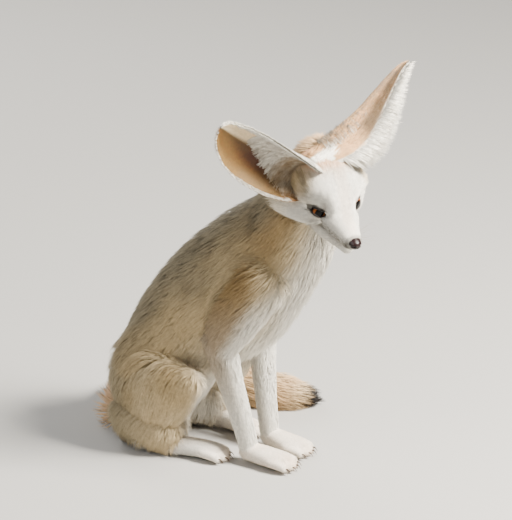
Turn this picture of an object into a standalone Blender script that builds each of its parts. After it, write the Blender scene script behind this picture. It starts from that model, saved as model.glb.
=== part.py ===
"""A fennec fox, life size and in metres, sitting upright with its head turned to its right.

x is the fox's left, y points behind it and z is up. The solids reach to the tips of the coat.
The flesh is modelled whole, as round forms grown into one another, and parted with thin cuts.
"""

import math

import bmesh
import bpy
import numpy as np
from mathutils import Matrix, Vector

GAP = 0.0003
SIDES = {"left": 1, "right": -1}

# The head's own place: midway between the eyes, turned to the fox's right, dipped and rolled.
HEAD_LEFT, HEAD_AHEAD, HEAD_UP = -0.0244, 0.1524, 0.252
HEAD_TURN, HEAD_DIP, HEAD_ROLL = math.radians(-30), math.radians(30), math.radians(-3)

EYE_RADIUS = 0.0075
EYE_OUT, EYE_UP = 0.0155, -0.0040
EYE_TURN, EYE_LIFT, EYE_SLANT = math.radians(24), math.radians(14), math.radians(-14)
EYE_WIDTH = 0.0165
EYE_OPEN = {"left": 0.0085, "right": 0.0065}
LID_RADIUS = 0.0088
# Where the sockets begin and where they are as deep as the lids: how far from the gaze, as a
# cosine, and how far from the middle of the eye.
SOCKET_TURN = 0.08, 0.56
SOCKET_REACH = 0.0185, 0.0125
EAR_LENGTH = 0.092
EAR_THICKNESS = 0.0026


def at(left, ahead, up):
    """A point by how far it lies to the fox's left, ahead of the middle and above the ground."""
    return Vector((left, -ahead, up))


HEAD_AXES = (
    Matrix.Rotation(HEAD_TURN, 3, "Z")
    @ Matrix.Rotation(HEAD_DIP, 3, "X")
    @ Matrix.Rotation(HEAD_ROLL, 3, "Y")
)


def on_head(left, fore, up):
    """A point by its place in the head's own left, fore and up."""
    return at(HEAD_LEFT, HEAD_AHEAD, HEAD_UP) + HEAD_AXES @ Vector((left, -fore, up))


BODY_SIDE = Vector((1, 0, 0))
UPWARDS = Vector((0, 0, 1))
HEAD_SIDE = HEAD_AXES @ BODY_SIDE

# Each form is a row of stations: left, ahead, up, half width across and half depth.
# left is away from the middle on the forms that come in pairs.
TORSO = (
    (0.000, -0.036, 0.034, 0.042, 0.036),
    (0.000, -0.028, 0.062, 0.048, 0.045),
    (0.000, -0.009, 0.097, 0.045, 0.050),
    (0.000, 0.018, 0.128, 0.042, 0.055),
    (0.000, 0.044, 0.153, 0.041, 0.057),
    (0.000, 0.069, 0.181, 0.038, 0.052),
    (-0.001, 0.091, 0.206, 0.034, 0.045),
    (-0.005, 0.108, 0.229, 0.031, 0.038),
    (-0.011, 0.126, 0.252, 0.028, 0.031),
)
# The thick fur between the ears and down the nape.
CROWN = (
    (-0.008, 0.124, 0.280, 0.0240, 0.0190),
    (-0.005, 0.104, 0.258, 0.0220, 0.0180),
    (-0.003, 0.088, 0.237, 0.0210, 0.0160),
)
UPPER_ARM = (
    (0.028, 0.084, 0.172, 0.018, 0.025),
    (0.033, 0.064, 0.140, 0.018, 0.024),
    (0.034, 0.050, 0.112, 0.0145, 0.017),
)
FOREARM = {
    "left": (
        (0.033, 0.048, 0.112, 0.0140, 0.0165),
        (0.027, 0.053, 0.084, 0.0110, 0.0130),
        (0.020, 0.060, 0.052, 0.0095, 0.0108),
        (0.016, 0.065, 0.026, 0.0090, 0.0098),
        (0.015, 0.067, 0.014, 0.0088, 0.0090),
    ),
    "right": (
        (0.034, 0.047, 0.112, 0.0140, 0.0165),
        (0.031, 0.052, 0.084, 0.0112, 0.0132),
        (0.027, 0.060, 0.052, 0.0096, 0.0110),
        (0.024, 0.066, 0.026, 0.0090, 0.0098),
        (0.023, 0.068, 0.014, 0.0088, 0.0090),
    ),
}
THIGH = (
    (0.026, -0.036, 0.058, 0.029, 0.041),
    (0.042, -0.010, 0.062, 0.024, 0.040),
    (0.047, 0.013, 0.071, 0.017, 0.027),
    (0.049, 0.027, 0.078, 0.0115, 0.0145),
)
SHANK = (
    (0.048, 0.026, 0.076, 0.0115, 0.0140),
    (0.043, 0.004, 0.048, 0.0150, 0.0180),
    (0.038, -0.026, 0.022, 0.0150, 0.0170),
)
SEAT = (
    (0.030, -0.038, 0.028, 0.026, 0.028),
    (0.036, -0.010, 0.025, 0.023, 0.026),
)
# The flank, where it runs down over the top of the thigh.
HIP = (
    (0.016, 0.006, 0.122, 0.026, 0.037),
    (0.023, -0.010, 0.098, 0.028, 0.038),
    (0.028, -0.024, 0.074, 0.026, 0.040),
)
# The paws are set by where the left and the right foot stand.
FOREPAW = {
    "left": (
        (0.0150, 0.0670, 0.0120, 0.0092, 0.0095),
        (0.0140, 0.0830, 0.0095, 0.0122, 0.0088),
        (0.0135, 0.0950, 0.0085, 0.0132, 0.0078),
    ),
    "right": (
        (0.0230, 0.0680, 0.0120, 0.0092, 0.0095),
        (0.0220, 0.0860, 0.0095, 0.0122, 0.0088),
        (0.0215, 0.0990, 0.0085, 0.0132, 0.0078),
    ),
}
HINDFOOT = (
    (0.0400, -0.0300, 0.0120, 0.0090, 0.0100),
    (0.0370, 0.0000, 0.0090, 0.0088, 0.0085),
    (0.0330, 0.0250, 0.0088, 0.0112, 0.0084),
    (0.0310, 0.0380, 0.0082, 0.0124, 0.0076),
)
TOE_RADIUS = 0.0047
TOE_SPREAD = 0.0064
TAIL = (
    (0.002, -0.070, 0.014, 0.014, 0.011),
    (0.040, -0.089, 0.013, 0.013, 0.011),
    (0.078, -0.076, 0.013, 0.013, 0.012),
    (0.098, -0.040, 0.013, 0.013, 0.012),
    (0.101, -0.002, 0.012, 0.012, 0.011),
    (0.107, 0.028, 0.010, 0.010, 0.009),
    (0.117, 0.047, 0.007, 0.006, 0.005),
)

# The head's stations are in its own left, fore and up.
SKULL = (
    (0.000, -0.020, 0.006, 0.0325, 0.0265),
    (0.000, -0.008, 0.003, 0.0310, 0.0235),
    (0.000, 0.000, -0.001, 0.0255, 0.019),
    (0.000, 0.007, -0.005, 0.0218, 0.0165),
    (0.000, 0.014, -0.008, 0.0168, 0.0135),
    (0.000, 0.024, -0.010, 0.0124, 0.0106),
    (0.000, 0.033, -0.011, 0.0094, 0.0088),
)
CHEEK = (
    (0.0150, 0.006, -0.0120, 0.0050, 0.0060),
    (0.0210, -0.006, -0.0120, 0.0100, 0.0125),
    (0.0255, -0.018, -0.0120, 0.0135, 0.0180),
)
WHISKER_PAD = (
    (0.0060, 0.021, -0.0130, 0.0056, 0.0062),
    (0.0048, 0.030, -0.0130, 0.0052, 0.0056),
)
JAW = (
    (0.000, -0.022, -0.0240, 0.0220, 0.0155),
    (0.000, 0.004, -0.0250, 0.0140, 0.0140),
    (0.000, 0.016, -0.0245, 0.0105, 0.0100),
    (0.000, 0.025, -0.0240, 0.0076, 0.0068),
    (0.000, 0.0315, -0.0232, 0.0056, 0.0052),
)
NOSE = (
    (0.000, 0.0360, -0.0088, 0.0060, 0.0046),
    (0.000, 0.0400, -0.0090, 0.0054, 0.0042),
)

# The line of the mouth from under the nose to its corner, with the depth and height of the cut.
MOUTH = (
    (0.0035, 0.0385, -0.0178, 0.0030, 0.0006),
    (0.0078, 0.0310, -0.0190, 0.0026, 0.0006),
    (0.0118, 0.0200, -0.0196, 0.0024, 0.0006),
    (0.0165, 0.0090, -0.0190, 0.0024, 0.0006),
    (0.0185, 0.0040, -0.0172, 0.0024, 0.0005),
)
# Where locks of long hair grow. Each row holds how far along its form the row stands, as a share,
# the angles round the form in degrees, and the locks' length, width and rise from the lie.
CHEST_LOCKS = (
    (0.42, (-22, 22), 0.022, 0.013, 16),
    (0.50, (-40, 0, 40), 0.025, 0.014, 18),
    (0.58, (-44, -16, 16, 44), 0.026, 0.014, 20),
    (0.66, (-50, -25, 0, 25, 50), 0.027, 0.014, 21),
    (0.74, (-52, -18, 18, 52), 0.027, 0.014, 20),
)
NECK_LOCKS = (
    (0.83, (-48, -24, 0, 24, 48), 0.025, 0.014, 18),
    (0.91, (-68, -40, 40, 68), 0.023, 0.013, 18),
)
TAIL_ROWS = 8
TAIL_LOCK = {"length": 0.042, "width": 0.021, "rise": 18}
TAIL_TURNS = ((-96, -34, 34, 96), (-66, 0, 66))
TAIL_CUTS = (0.36, 0.66)
# The ruff's roots on each cheek in the head's own left, fore and up, and the lie of its locks.
RUFF_ROOTS = (
    (0.0365, -0.016, -0.001),
    (0.0385, -0.020, -0.010),
    (0.0365, -0.018, -0.020),
    (0.0320, -0.012, -0.026),
    (0.0250, -0.006, -0.028),
)
RUFF_LIE = (0.45, -0.72, -0.52)
RUFF_MIDDLE = (0.018, -0.010, -0.008)
RUFF_LOCK = {"length": 0.024, "width": 0.014, "rise": 10}
# The long white hairs of an ear's inner edge stand in a row along it.
FRINGE_SHARES = (0.0, 0.12, 0.24, 0.36, 0.48, 0.60)
FRINGE_LOCK = {"width": 0.013, "thickness": 0.0022, "sink": 0}
FRINGE_LENGTH = 0.019
LOCK_THICKNESS = 0.0030
LOCK_SINK = 0.004
LOCK_SEED = 7
# The share of its triangles that each node keeps, once all its cuts and locks are in it.
KEPT = 0.78

NOSTRIL = (0.0032, 0.0440, -0.0084)
NOSTRIL_RADIUS = 0.0013

# Each ear's foot, axis and the way its cup faces, in the head's own left, fore and up, and how far
# it bows to its outer side and to its front between foot and tip, as a share of its length, and
# how steeply the long hairs of its inner edge turn in over the cup, in degrees.
# The fox holds the left ear up, turned outwards, and the right one out to its side.
EARS = {
    "left": {
        "foot": (0.012, -0.037, 0.029),
        "axis": (0.75, -0.31, 0.44),
        "faces": (0.565, 0.66, -0.50),
        "bow": (0.10, 0.24),
        "fringe": 5,
    },
    "right": {
        "foot": (-0.030, -0.0245, 0.014),
        "axis": (-0.69, -0.20, 0.54),
        "faces": (-0.1, 1, 0.3),
        "bow": (0.26, 0.0),
        "fringe": 42,
    },
}
# Along the ear: share of its length, width to the middle and to the outer side when laid flat,
# and half the angle of its curl in degrees.
EAR_SHAPE = (
    (-0.32, 0.0180, 0.0180, 110),
    (-0.16, 0.0270, 0.0260, 106),
    (0.00, 0.0340, 0.0320, 98),
    (0.16, 0.0330, 0.0310, 86),
    (0.34, 0.0295, 0.0290, 72),
    (0.52, 0.0250, 0.0265, 58),
    (0.70, 0.0190, 0.0225, 48),
    (0.84, 0.0130, 0.0165, 40),
    (0.94, 0.0075, 0.0100, 35),
    (1.00, 0.0012, 0.0018, 30),
)

# The surfaces that part the head and the legs from the trunk.
HEAD_REGION = (
    (0.000, 0.014, 0.010, 0.072, 0.052),
    (0.000, 0.060, 0.000, 0.054, 0.045),
)
FORE_REGION = (
    (0.046, 0.082, 0.166, 0.026, 0.026),
    (0.046, 0.064, 0.140, 0.026, 0.027),
    (0.038, 0.048, 0.108, 0.024, 0.024),
    (0.030, 0.053, 0.080, 0.020, 0.016),
    (0.022, 0.066, 0.026, 0.020, 0.020),
    (0.019, 0.067, 0.004, 0.020, 0.020),
)
HIND_REGION = (
    (0.047, -0.056, 0.046, 0.020, 0.038),
    (0.048, -0.040, 0.050, 0.024, 0.052),
    (0.050, -0.006, 0.052, 0.026, 0.058),
    (0.051, 0.026, 0.060, 0.024, 0.050),
    (0.050, 0.044, 0.070, 0.018, 0.034),
)

COATS = {
    "sandy coat": (0.62, 0.53, 0.40),
    "white coat": (0.86, 0.83, 0.77),
    "eye": (0.05, 0.025, 0.015),
    "nose": (0.02, 0.017, 0.017),
    "dark coat": (0.12, 0.09, 0.07),
}
NODE_COATS = {"eye": "eye", "nose": "nose", "head": "white coat", "forepaw": "white coat"}
# The nodes that keep all their triangles.
WHOLE = ("eye", "nose", "forepaw", "hindfoot", "head")


def clear_scene():
    for obj in list(bpy.data.objects):
        bpy.data.objects.remove(obj)


def coat(name):
    """The named material, made the first time that it is asked for."""
    made = bpy.data.materials.get(name)
    if made is None:
        made = bpy.data.materials.new(name)
        made.use_nodes = True
        shader = made.node_tree.nodes["Principled BSDF"]
        shader.inputs["Base Color"].default_value = (*COATS[name], 1)
        shader.inputs["Roughness"].default_value = 0.3 if name in ("eye", "nose") else 0.9
    return made


def solid(name, points, faces):
    """An object from points and faces, its faces turned outwards."""
    mesh = bpy.data.meshes.new(name)
    mesh.from_pydata([tuple(p) for p in points], [], faces)
    work = bmesh.new()
    work.from_mesh(mesh)
    bmesh.ops.triangulate(work, faces=work.faces)
    bmesh.ops.recalc_face_normals(work, faces=work.faces)
    work.to_mesh(mesh)
    work.free()
    obj = bpy.data.objects.new(name, mesh)
    bpy.context.scene.collection.objects.link(obj)
    return obj


def settle(obj):
    """Applies the object's modifiers."""
    bpy.context.view_layer.update()
    graph = bpy.context.evaluated_depsgraph_get()
    made = bpy.data.meshes.new_from_object(obj.evaluated_get(graph), depsgraph=graph)
    obj.modifiers.clear()
    obj.data = made
    return obj


def curved(stations, steps):
    """The stations' numbers with steps - 1 more between each two, on a Catmull-Rom curve."""
    rows = np.array(stations, float)
    ends = np.vstack([2 * rows[0] - rows[1], rows, 2 * rows[-1] - rows[-2]])
    made = []
    for a, b, c, d in zip(ends, ends[1:], ends[2:], ends[3:]):
        for t in np.arange(steps) / steps:
            bend = (2 * a - 5 * b + 4 * c - d) * t**2 + (3 * b - a - 3 * c + d) * t**3
            made.append(b + 0.5 * ((c - a) * t + bend))
    return np.array([*made, rows[-1]])


def spine(stations, steps, place, mirror):
    """The line through the stations, the way along it and the half widths there."""
    rows = curved([(mirror * s[0], *s[1:]) for s in stations], steps)
    path = np.array([place(*row[:3]) for row in rows])
    along = np.gradient(path, axis=0)
    along /= np.linalg.norm(along, axis=1)[:, None]
    return rows, path, along


def form(name, stations, place=at, side=BODY_SIDE, mirror=1, around=20, steps=4):
    """A closed round form through the stations, domed at both ends."""
    rows, path, along = spine(stations, steps, place, mirror)
    rings = [(path[i], along[i], rows[i, 3], rows[i, 4]) for i in range(len(rows))]
    for end, sense in ((0, -1), (-1, 1)):
        point, way, wide, deep = rings[end]
        reach = (wide + deep) / 2
        dome = [
            (point + sense * way * reach * math.sin(a), way, wide * math.cos(a), deep * math.cos(a))
            for a in np.radians((28, 52, 72))
        ]
        rings = dome[::-1] + rings if end == 0 else rings + dome
    points, faces = [], []
    for point, way, wide, deep in rings:
        across = np.array(side) - way * np.dot(side, way)
        across /= np.linalg.norm(across)
        down = np.cross(way, across)
        for turn in np.arange(around) * 2 * math.pi / around:
            points.append(point + across * wide * math.cos(turn) + down * deep * math.sin(turn))
    for ring in range(len(rings) - 1):
        for k in range(around):
            a, b = ring * around + k, ring * around + (k + 1) % around
            faces.append((a, b, b + around, a + around))
    faces.append(tuple(range(around)))
    faces.append(tuple(range((len(rings) - 1) * around, len(rings) * around)))
    return solid(name, points, faces)


def surface_spot(stations, share, turn, side):
    """A point on a form's surface, the way along the form there and the way out of it."""
    rows, path, along = spine(stations, 8, at, 1)
    k = round(share * (len(rows) - 1))
    way = along[k]
    across = np.array(side) - way * np.dot(side, way)
    across /= np.linalg.norm(across)
    down = np.cross(way, across)
    wide, deep = rows[k, 3:5]
    point = path[k] + across * wide * math.cos(turn) + down * deep * math.sin(turn)
    out = across * math.cos(turn) / wide + down * math.sin(turn) / deep
    return Vector(point), Vector(way), Vector(out).normalized()


def lock(point, lie, out, length, width, rise, thickness=LOCK_THICKNESS, sink=LOCK_SINK):
    """A flat, tapered lock of hair that rises out of the coat and bends back to its lie."""
    lie = (lie - out * lie.dot(out)).normalized()
    side = lie.cross(out)
    lifted = math.radians(rise)
    middles, reached = [point - out * sink], point
    for share, angle in ((0.45, lifted), (0.33, 0.45 * lifted), (0.22, -0.3 * lifted)):
        way = lie * math.cos(angle) + out * math.sin(angle)
        reached = reached + way * length * share
        middles.append(reached)
    points = []
    for middle, wide, thick in zip(middles, (0.8, 1.0, 0.66), (0.8, 1.0, 0.75)):
        across, over = side * width * wide / 2, out * thickness * thick / 2
        points += [middle + across, middle + over, middle - across, middle - over]
    points.append(middles[-1])
    faces = [(0, 1, 2, 3)]
    for k in range(4):
        after = (k + 1) % 4
        faces += [(k, after, 4 + after, 4 + k), (4 + k, 4 + after, 8 + after, 8 + k)]
        faces.append((8 + k, 8 + after, 12))
    return solid("lock", points, faces)


def with_locks(host, locks, *neighbours):
    """Fuses the locks with their host by one Boolean, after cutting them clear of its neighbours."""
    cutters = [swollen(neighbour, 2 * GAP) for neighbour in neighbours]
    for obj in locks:
        for cutter in cutters:
            combined(obj, cutter, "DIFFERENCE", "MANIFOLD")
        largest_only(obj)
    discard(*cutters)
    group = bpy.data.collections.new("locks")
    for obj in locks:
        group.objects.link(obj)
    fuse = host.modifiers.new("locks", "BOOLEAN")
    fuse.operation = "UNION"
    fuse.solver = "MANIFOLD"
    fuse.operand_type = "COLLECTION"
    fuse.collection = group
    settle(host)
    discard(*locks)
    bpy.data.collections.remove(group)
    return largest_only(host)


def bib_locks(rows):
    """Locks down the front of the neck and chest, lying towards the belly."""
    draw = np.random.default_rng(LOCK_SEED)
    made = []
    for share, angles, length, width, rise in rows:
        for angle in angles:
            point, way, out = surface_spot(TORSO, share, math.radians(angle - 90), BODY_SIDE)
            size = length * draw.uniform(0.88, 1.12)
            made.append(lock(point, -way, out, size, width, rise * draw.uniform(0.8, 1.2)))
    return made


def tail_locks():
    """Locks along the top and sides of the tail, lying towards its tip."""
    draw = np.random.default_rng(LOCK_SEED)
    made = []
    for row in range(TAIL_ROWS):
        share = (row + 0.4) / (TAIL_ROWS + 1.0)
        fade = min(1, 0.55 + 2 * share, 0.45 + 2.6 * (1 - share))
        for turn in TAIL_TURNS[row % 2]:
            point, way, out = surface_spot(TAIL, share, math.radians(turn), UPWARDS)
            sizes = {k: v * fade * draw.uniform(0.9, 1.1) for k, v in TAIL_LOCK.items()}
            made.append(lock(point, way, out, **sizes))
    point, way, _ = surface_spot(TAIL, 0.97, 0, UPWARDS)
    return [*made, lock(point - UPWARDS * 0.005, way, UPWARDS, 0.030, 0.010, 2)]


def ruff_locks(mirror):
    """The ruff on one cheek, swept back over the side of the neck."""
    draw = np.random.default_rng(LOCK_SEED)
    middle = on_head(mirror * RUFF_MIDDLE[0], *RUFF_MIDDLE[1:])
    lie = HEAD_AXES @ Vector((mirror * RUFF_LIE[0], -RUFF_LIE[1], RUFF_LIE[2]))
    made = []
    for root in RUFF_ROOTS:
        point = on_head(mirror * root[0], *root[1:])
        sizes = {k: v * draw.uniform(0.9, 1.1) for k, v in RUFF_LOCK.items()}
        made.append(lock(point, lie, (point - middle).normalized(), **sizes))
    return made


def pair(name, stations, **ways):
    """The same form on both sides of the body."""
    return [form(f"{name}_{s}", stations, mirror=m, **ways) for s, m in SIDES.items()]


def joined(name, objects):
    """One object that holds copies of all the given meshes, still as separate closed shells."""
    work = bmesh.new()
    for obj in objects:
        work.from_mesh(obj.data)
    mesh = bpy.data.meshes.new(name)
    work.to_mesh(mesh)
    work.free()
    made = bpy.data.objects.new(name, mesh)
    bpy.context.scene.collection.objects.link(made)
    return made


def grown(name, forms, grain, rounds):
    """The forms grown into one skin, on a grid of that grain, then softened."""
    made = joined(name, forms)
    remesh = made.modifiers.new("grow together", "REMESH")
    remesh.mode = "VOXEL"
    remesh.voxel_size = grain
    soften = made.modifiers.new("soften", "SMOOTH")
    soften.factor = 0.5
    soften.iterations = rounds
    return settle(made)


def thinned(obj, triangles):
    """The object's mesh brought down to about that many triangles."""
    obj.data.calc_loop_triangles()
    thin = obj.modifiers.new("thin", "DECIMATE")
    thin.ratio = min(1.0, triangles / len(obj.data.loop_triangles))
    thin.use_collapse_triangulate = True
    return settle(obj)


def halved(obj, point, normal):
    """The object cut flat at a plane and capped, keeping the side that the normal points to."""
    work = bmesh.new()
    work.from_mesh(obj.data)
    cut = bmesh.ops.bisect_plane(
        work,
        geom=[*work.verts, *work.edges, *work.faces],
        plane_co=point,
        plane_no=normal,
        clear_inner=True,
    )
    edges = [e for e in cut["geom_cut"] if isinstance(e, bmesh.types.BMEdge)]
    bmesh.ops.holes_fill(work, edges=edges)
    bmesh.ops.triangulate(work, faces=work.faces)
    bmesh.ops.recalc_face_normals(work, faces=work.faces)
    work.to_mesh(obj.data)
    work.free()
    return obj


def copied(obj, name):
    made = obj.copy()
    made.data = obj.data.copy()
    made.name = name
    bpy.context.scene.collection.objects.link(made)
    return made


def swollen(obj, by):
    """A copy of the object grown outwards by that much, to cut its neighbours back with."""
    made = copied(obj, obj.name + "_swollen")
    grow = made.modifiers.new("grow", "DISPLACE")
    grow.mid_level = 0
    grow.strength = by
    return settle(made)


def combined(obj, other, how, solver="EXACT"):
    """The object after one Boolean with the other."""
    cut = obj.modifiers.new(how.lower(), "BOOLEAN")
    cut.operation = how
    cut.solver = solver
    cut.object = other
    return settle(obj)


def largest_only(obj):
    """Drops all but the largest closed surface of the mesh."""
    work = bmesh.new()
    work.from_mesh(obj.data)
    left, parts = set(work.verts), []
    while left:
        seen, edge = set(), [left.pop()]
        while edge:
            vert = edge.pop()
            seen.add(vert)
            near = {e.other_vert(vert) for e in vert.link_edges} & left
            left -= near
            edge.extend(near)
        parts.append(seen)
    parts.sort(key=len)
    loose = {v for part in parts[:-1] for v in part}
    bmesh.ops.delete(work, geom=list(loose), context="VERTS")
    work.to_mesh(obj.data)
    work.free()
    return obj


def discard(*objects):
    for obj in objects:
        bpy.data.objects.remove(obj)


def cut_clear(obj, *neighbours):
    """Cuts the object back from its neighbours, leaving the gap."""
    for neighbour in neighbours:
        cutter = swollen(neighbour, GAP)
        combined(obj, cutter, "DIFFERENCE")
        discard(cutter)
    return largest_only(obj)


def dressed(obj, name, material):
    """The finished node: named, smooth shaded, with its own material."""
    obj.name = name
    obj.data.name = name
    obj.data.materials.clear()
    obj.data.materials.append(coat(material))
    obj.data.shade_smooth()
    obj.data.set_sharp_from_angle(angle=math.radians(50))
    return obj


def head_forms():
    on = {"place": on_head, "side": HEAD_SIDE}
    forms = [form("skull", SKULL, **on), form("crown", CROWN), form("jaw", JAW, **on)]
    return forms + pair("cheek", CHEEK, **on) + pair("whisker_pad", WHISKER_PAD, **on)


def flesh():
    """The whole body without its paws, grown together."""
    forms = [form("torso", TORSO), *pair("upper_arm", UPPER_ARM), *pair("thigh", THIGH)]
    forms += [*pair("shank", SHANK), *pair("seat", SEAT), *pair("hip", HIP), *head_forms()]
    forms += [form("forearm", FOREARM[side], mirror=SIDES[side]) for side in SIDES]
    made = grown("flesh", forms, 0.0022, 10)
    discard(*forms)
    return thinned(made, 3400)


def eased(value, start, end):
    """How far the value is from start to end, from 0 to 1, with soft ends."""
    share = min(max((value - start) / (end - start), 0), 1)
    return share * share * (3 - 2 * share)


def press_socket(obj, mirror):
    """Presses the face down to the round of the lids, in front of an eye."""
    centre, look = eye_centre(mirror), gaze(mirror)[0]
    for vert in obj.data.vertices:
        off = vert.co - centre
        reach = off.length
        share = eased(off.dot(look) / reach, *SOCKET_TURN) * eased(reach, *SOCKET_REACH)
        if reach > LID_RADIUS:
            vert.co = centre + off * (1 - share * (1 - LID_RADIUS / reach))


def head_shape():
    """The head with the start of the neck, on a finer grid than the body's."""
    forms = [*head_forms(), form("neck", TORSO[-3:])]
    forms += [ball("lids", LID_RADIUS, eye_centre(m)) for m in SIDES.values()]
    made = grown("head_shape", forms, 0.0011, 6)
    discard(*forms)
    for mirror in SIDES.values():
        press_socket(made, mirror)
    return thinned(made, 3000)


def paw(name, stations, mirror):
    """A paw: its body and four toes, flat underneath."""
    left, ahead, up = stations[-1][:3]
    forms = [form("palm", stations, mirror=mirror)]
    for k in range(4):
        off = k - 1.5
        out, reach = left + off * TOE_SPREAD, 0.0125 - 0.0028 * abs(off)
        toe = (
            (out, ahead - 0.006, up, TOE_RADIUS, TOE_RADIUS),
            (out, ahead + reach * 0.6, up - 0.0014, TOE_RADIUS, TOE_RADIUS),
            (out, ahead + reach, up - 0.0034, TOE_RADIUS * 0.8, TOE_RADIUS * 0.8),
        )
        forms.append(form("toe", toe, mirror=mirror, around=12))
    made = grown(name, forms, 0.0011, 3)
    discard(*forms)
    halved(made, at(0, 0, 0), (0, 0, 1))
    return thinned(made, 420)


def ball(name, radius, centre, around=16):
    bpy.ops.mesh.primitive_uv_sphere_add(segments=around, ring_count=around // 2 + 1, radius=radius)
    made = bpy.context.object
    made.name = name
    made.data.transform(Matrix.Translation(centre))
    return made


def eye_centre(mirror):
    return on_head(mirror * EYE_OUT, 0, EYE_UP)


def gaze(mirror):
    """The way an eye looks, and the line across it from its inner to its outer corner."""
    level = math.cos(EYE_LIFT)
    out = Vector((mirror * math.sin(EYE_TURN), -math.cos(EYE_TURN), 0)) * level
    out += UPWARDS * math.sin(EYE_LIFT)
    ahead = (HEAD_AXES @ out).normalized()
    flat = HEAD_AXES @ Vector((mirror * math.cos(EYE_TURN), math.sin(EYE_TURN), 0))
    across = flat * math.cos(EYE_SLANT) + ahead.cross(flat) * -mirror * math.sin(EYE_SLANT)
    return ahead, across.normalized()


def eye_opening(side):
    """The almond between the lids, drawn out along the gaze to cut them with."""
    mirror = SIDES[side]
    ahead, across = gaze(mirror)
    over = across.cross(ahead) * mirror
    centre = eye_centre(mirror)
    outline = []
    for k in range(16):
        turn = 2 * math.pi * k / 16
        pinch = abs(math.sin(turn)) ** 1.4 * math.copysign(1, math.sin(turn))
        outline.append((math.cos(turn) * EYE_WIDTH / 2, pinch * EYE_OPEN[side] / 2))
    ends = [ahead * 0.003, ahead * 0.016]
    points = [centre + end + across * x + over * y for end in ends for x, y in outline]
    faces = [(k, (k + 1) % 16, 16 + (k + 1) % 16, 16 + k) for k in range(16)]
    faces += [tuple(range(16)), tuple(range(16, 32))]
    return solid("eye_opening", points, faces)


def mouth_cutter(mirror):
    """A thin curved blade that cuts the line between the lips on one side."""
    on = {"place": on_head, "side": HEAD_SIDE, "mirror": mirror, "around": 8, "steps": 2}
    return form("mouth_cutter", MOUTH, **on)


def ear_spot(side, share, inner, outer, angle, across):
    """A point on an ear, from 0 at its inner edge to 1 at its outer one, and the way into its cup."""
    pose = EARS[side]
    axis = (on_head(*pose["axis"]) - on_head(0, 0, 0)).normalized()
    facing = on_head(*pose["faces"]) - on_head(0, 0, 0)
    facing = (facing - axis * facing.dot(axis)).normalized()
    outward = axis.cross(facing) * SIDES[side]
    radius = (inner + outer) / 2 / math.radians(angle)
    turn = ((inner + outer) * across - inner) / radius
    bow = [b * EAR_LENGTH * (share - share**2) for b in pose["bow"]]
    out = outward * (radius * math.sin(turn) + bow[0])
    cup = facing * (radius * (0.6 - math.cos(turn)) + bow[1])
    inwards = facing * math.cos(turn) - outward * math.sin(turn)
    return on_head(*pose["foot"]) + axis * share * EAR_LENGTH + out + cup, inwards, axis


def fringe_locks(side):
    """The long hairs on the inner side of an ear, reaching out over its cup."""
    made, shape = [], np.array(EAR_SHAPE)
    for share in FRINGE_SHARES:
        row = [np.interp(share, shape[:, 0], shape[:, k]) for k in (1, 2, 3)]
        point, inwards, axis = ear_spot(side, share, *row, 0.06)
        edgewards = ear_spot(side, share, *row, 0)[0] - point
        lie = edgewards.normalized() + axis * 0.45
        sizes = {"length": FRINGE_LENGTH * (1.1 - 0.6 * share), "rise": EARS[side]["fringe"]}
        made.append(lock(point, lie, inwards, **sizes, **FRINGE_LOCK))
    return made


def ear(side):
    """One ear: a cupped leaf of even thickness with its foot sunk in the head."""
    columns = 10
    points, faces = [], []
    for row in EAR_SHAPE:
        points += [ear_spot(side, *row, k / columns)[0] for k in range(columns + 1)]
    wide = columns + 1
    for i in range(len(EAR_SHAPE) - 1):
        for k in range(columns):
            a = i * wide + k
            faces += [(a, a + 1, a + wide + 1), (a, a + wide + 1, a + wide)]
    made = solid(f"ear_{side}", points, faces)
    shell = made.modifiers.new("thickness", "SOLIDIFY")
    shell.thickness = EAR_THICKNESS
    shell.offset = 0
    return settle(made)


def stand_on_origin(objects):
    """Moves all the nodes so that the middle of their box stands on the origin."""
    points = [v.co for obj in objects for v in obj.data.vertices]
    low = [min(p[i] for p in points) for i in range(3)]
    high = [max(p[i] for p in points) for i in range(3)]
    move = Vector((-(low[0] + high[0]) / 2, -(low[1] + high[1]) / 2, -low[2]))
    for obj in objects:
        obj.data.transform(Matrix.Translation(move))


def tail_lengths(whole):
    """The tail parted across into three nodes."""
    made, rest = {}, whole
    for name, share in zip(("tail_base", "tail_middle"), TAIL_CUTS):
        point, way, _ = surface_spot(TAIL, share, 0, UPWARDS)
        made[name] = largest_only(halved(copied(rest, name), point - way * GAP / 2, -way))
        halved(rest, point + way * GAP / 2, way)
    return {**made, "tail_tip": largest_only(rest)}


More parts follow.
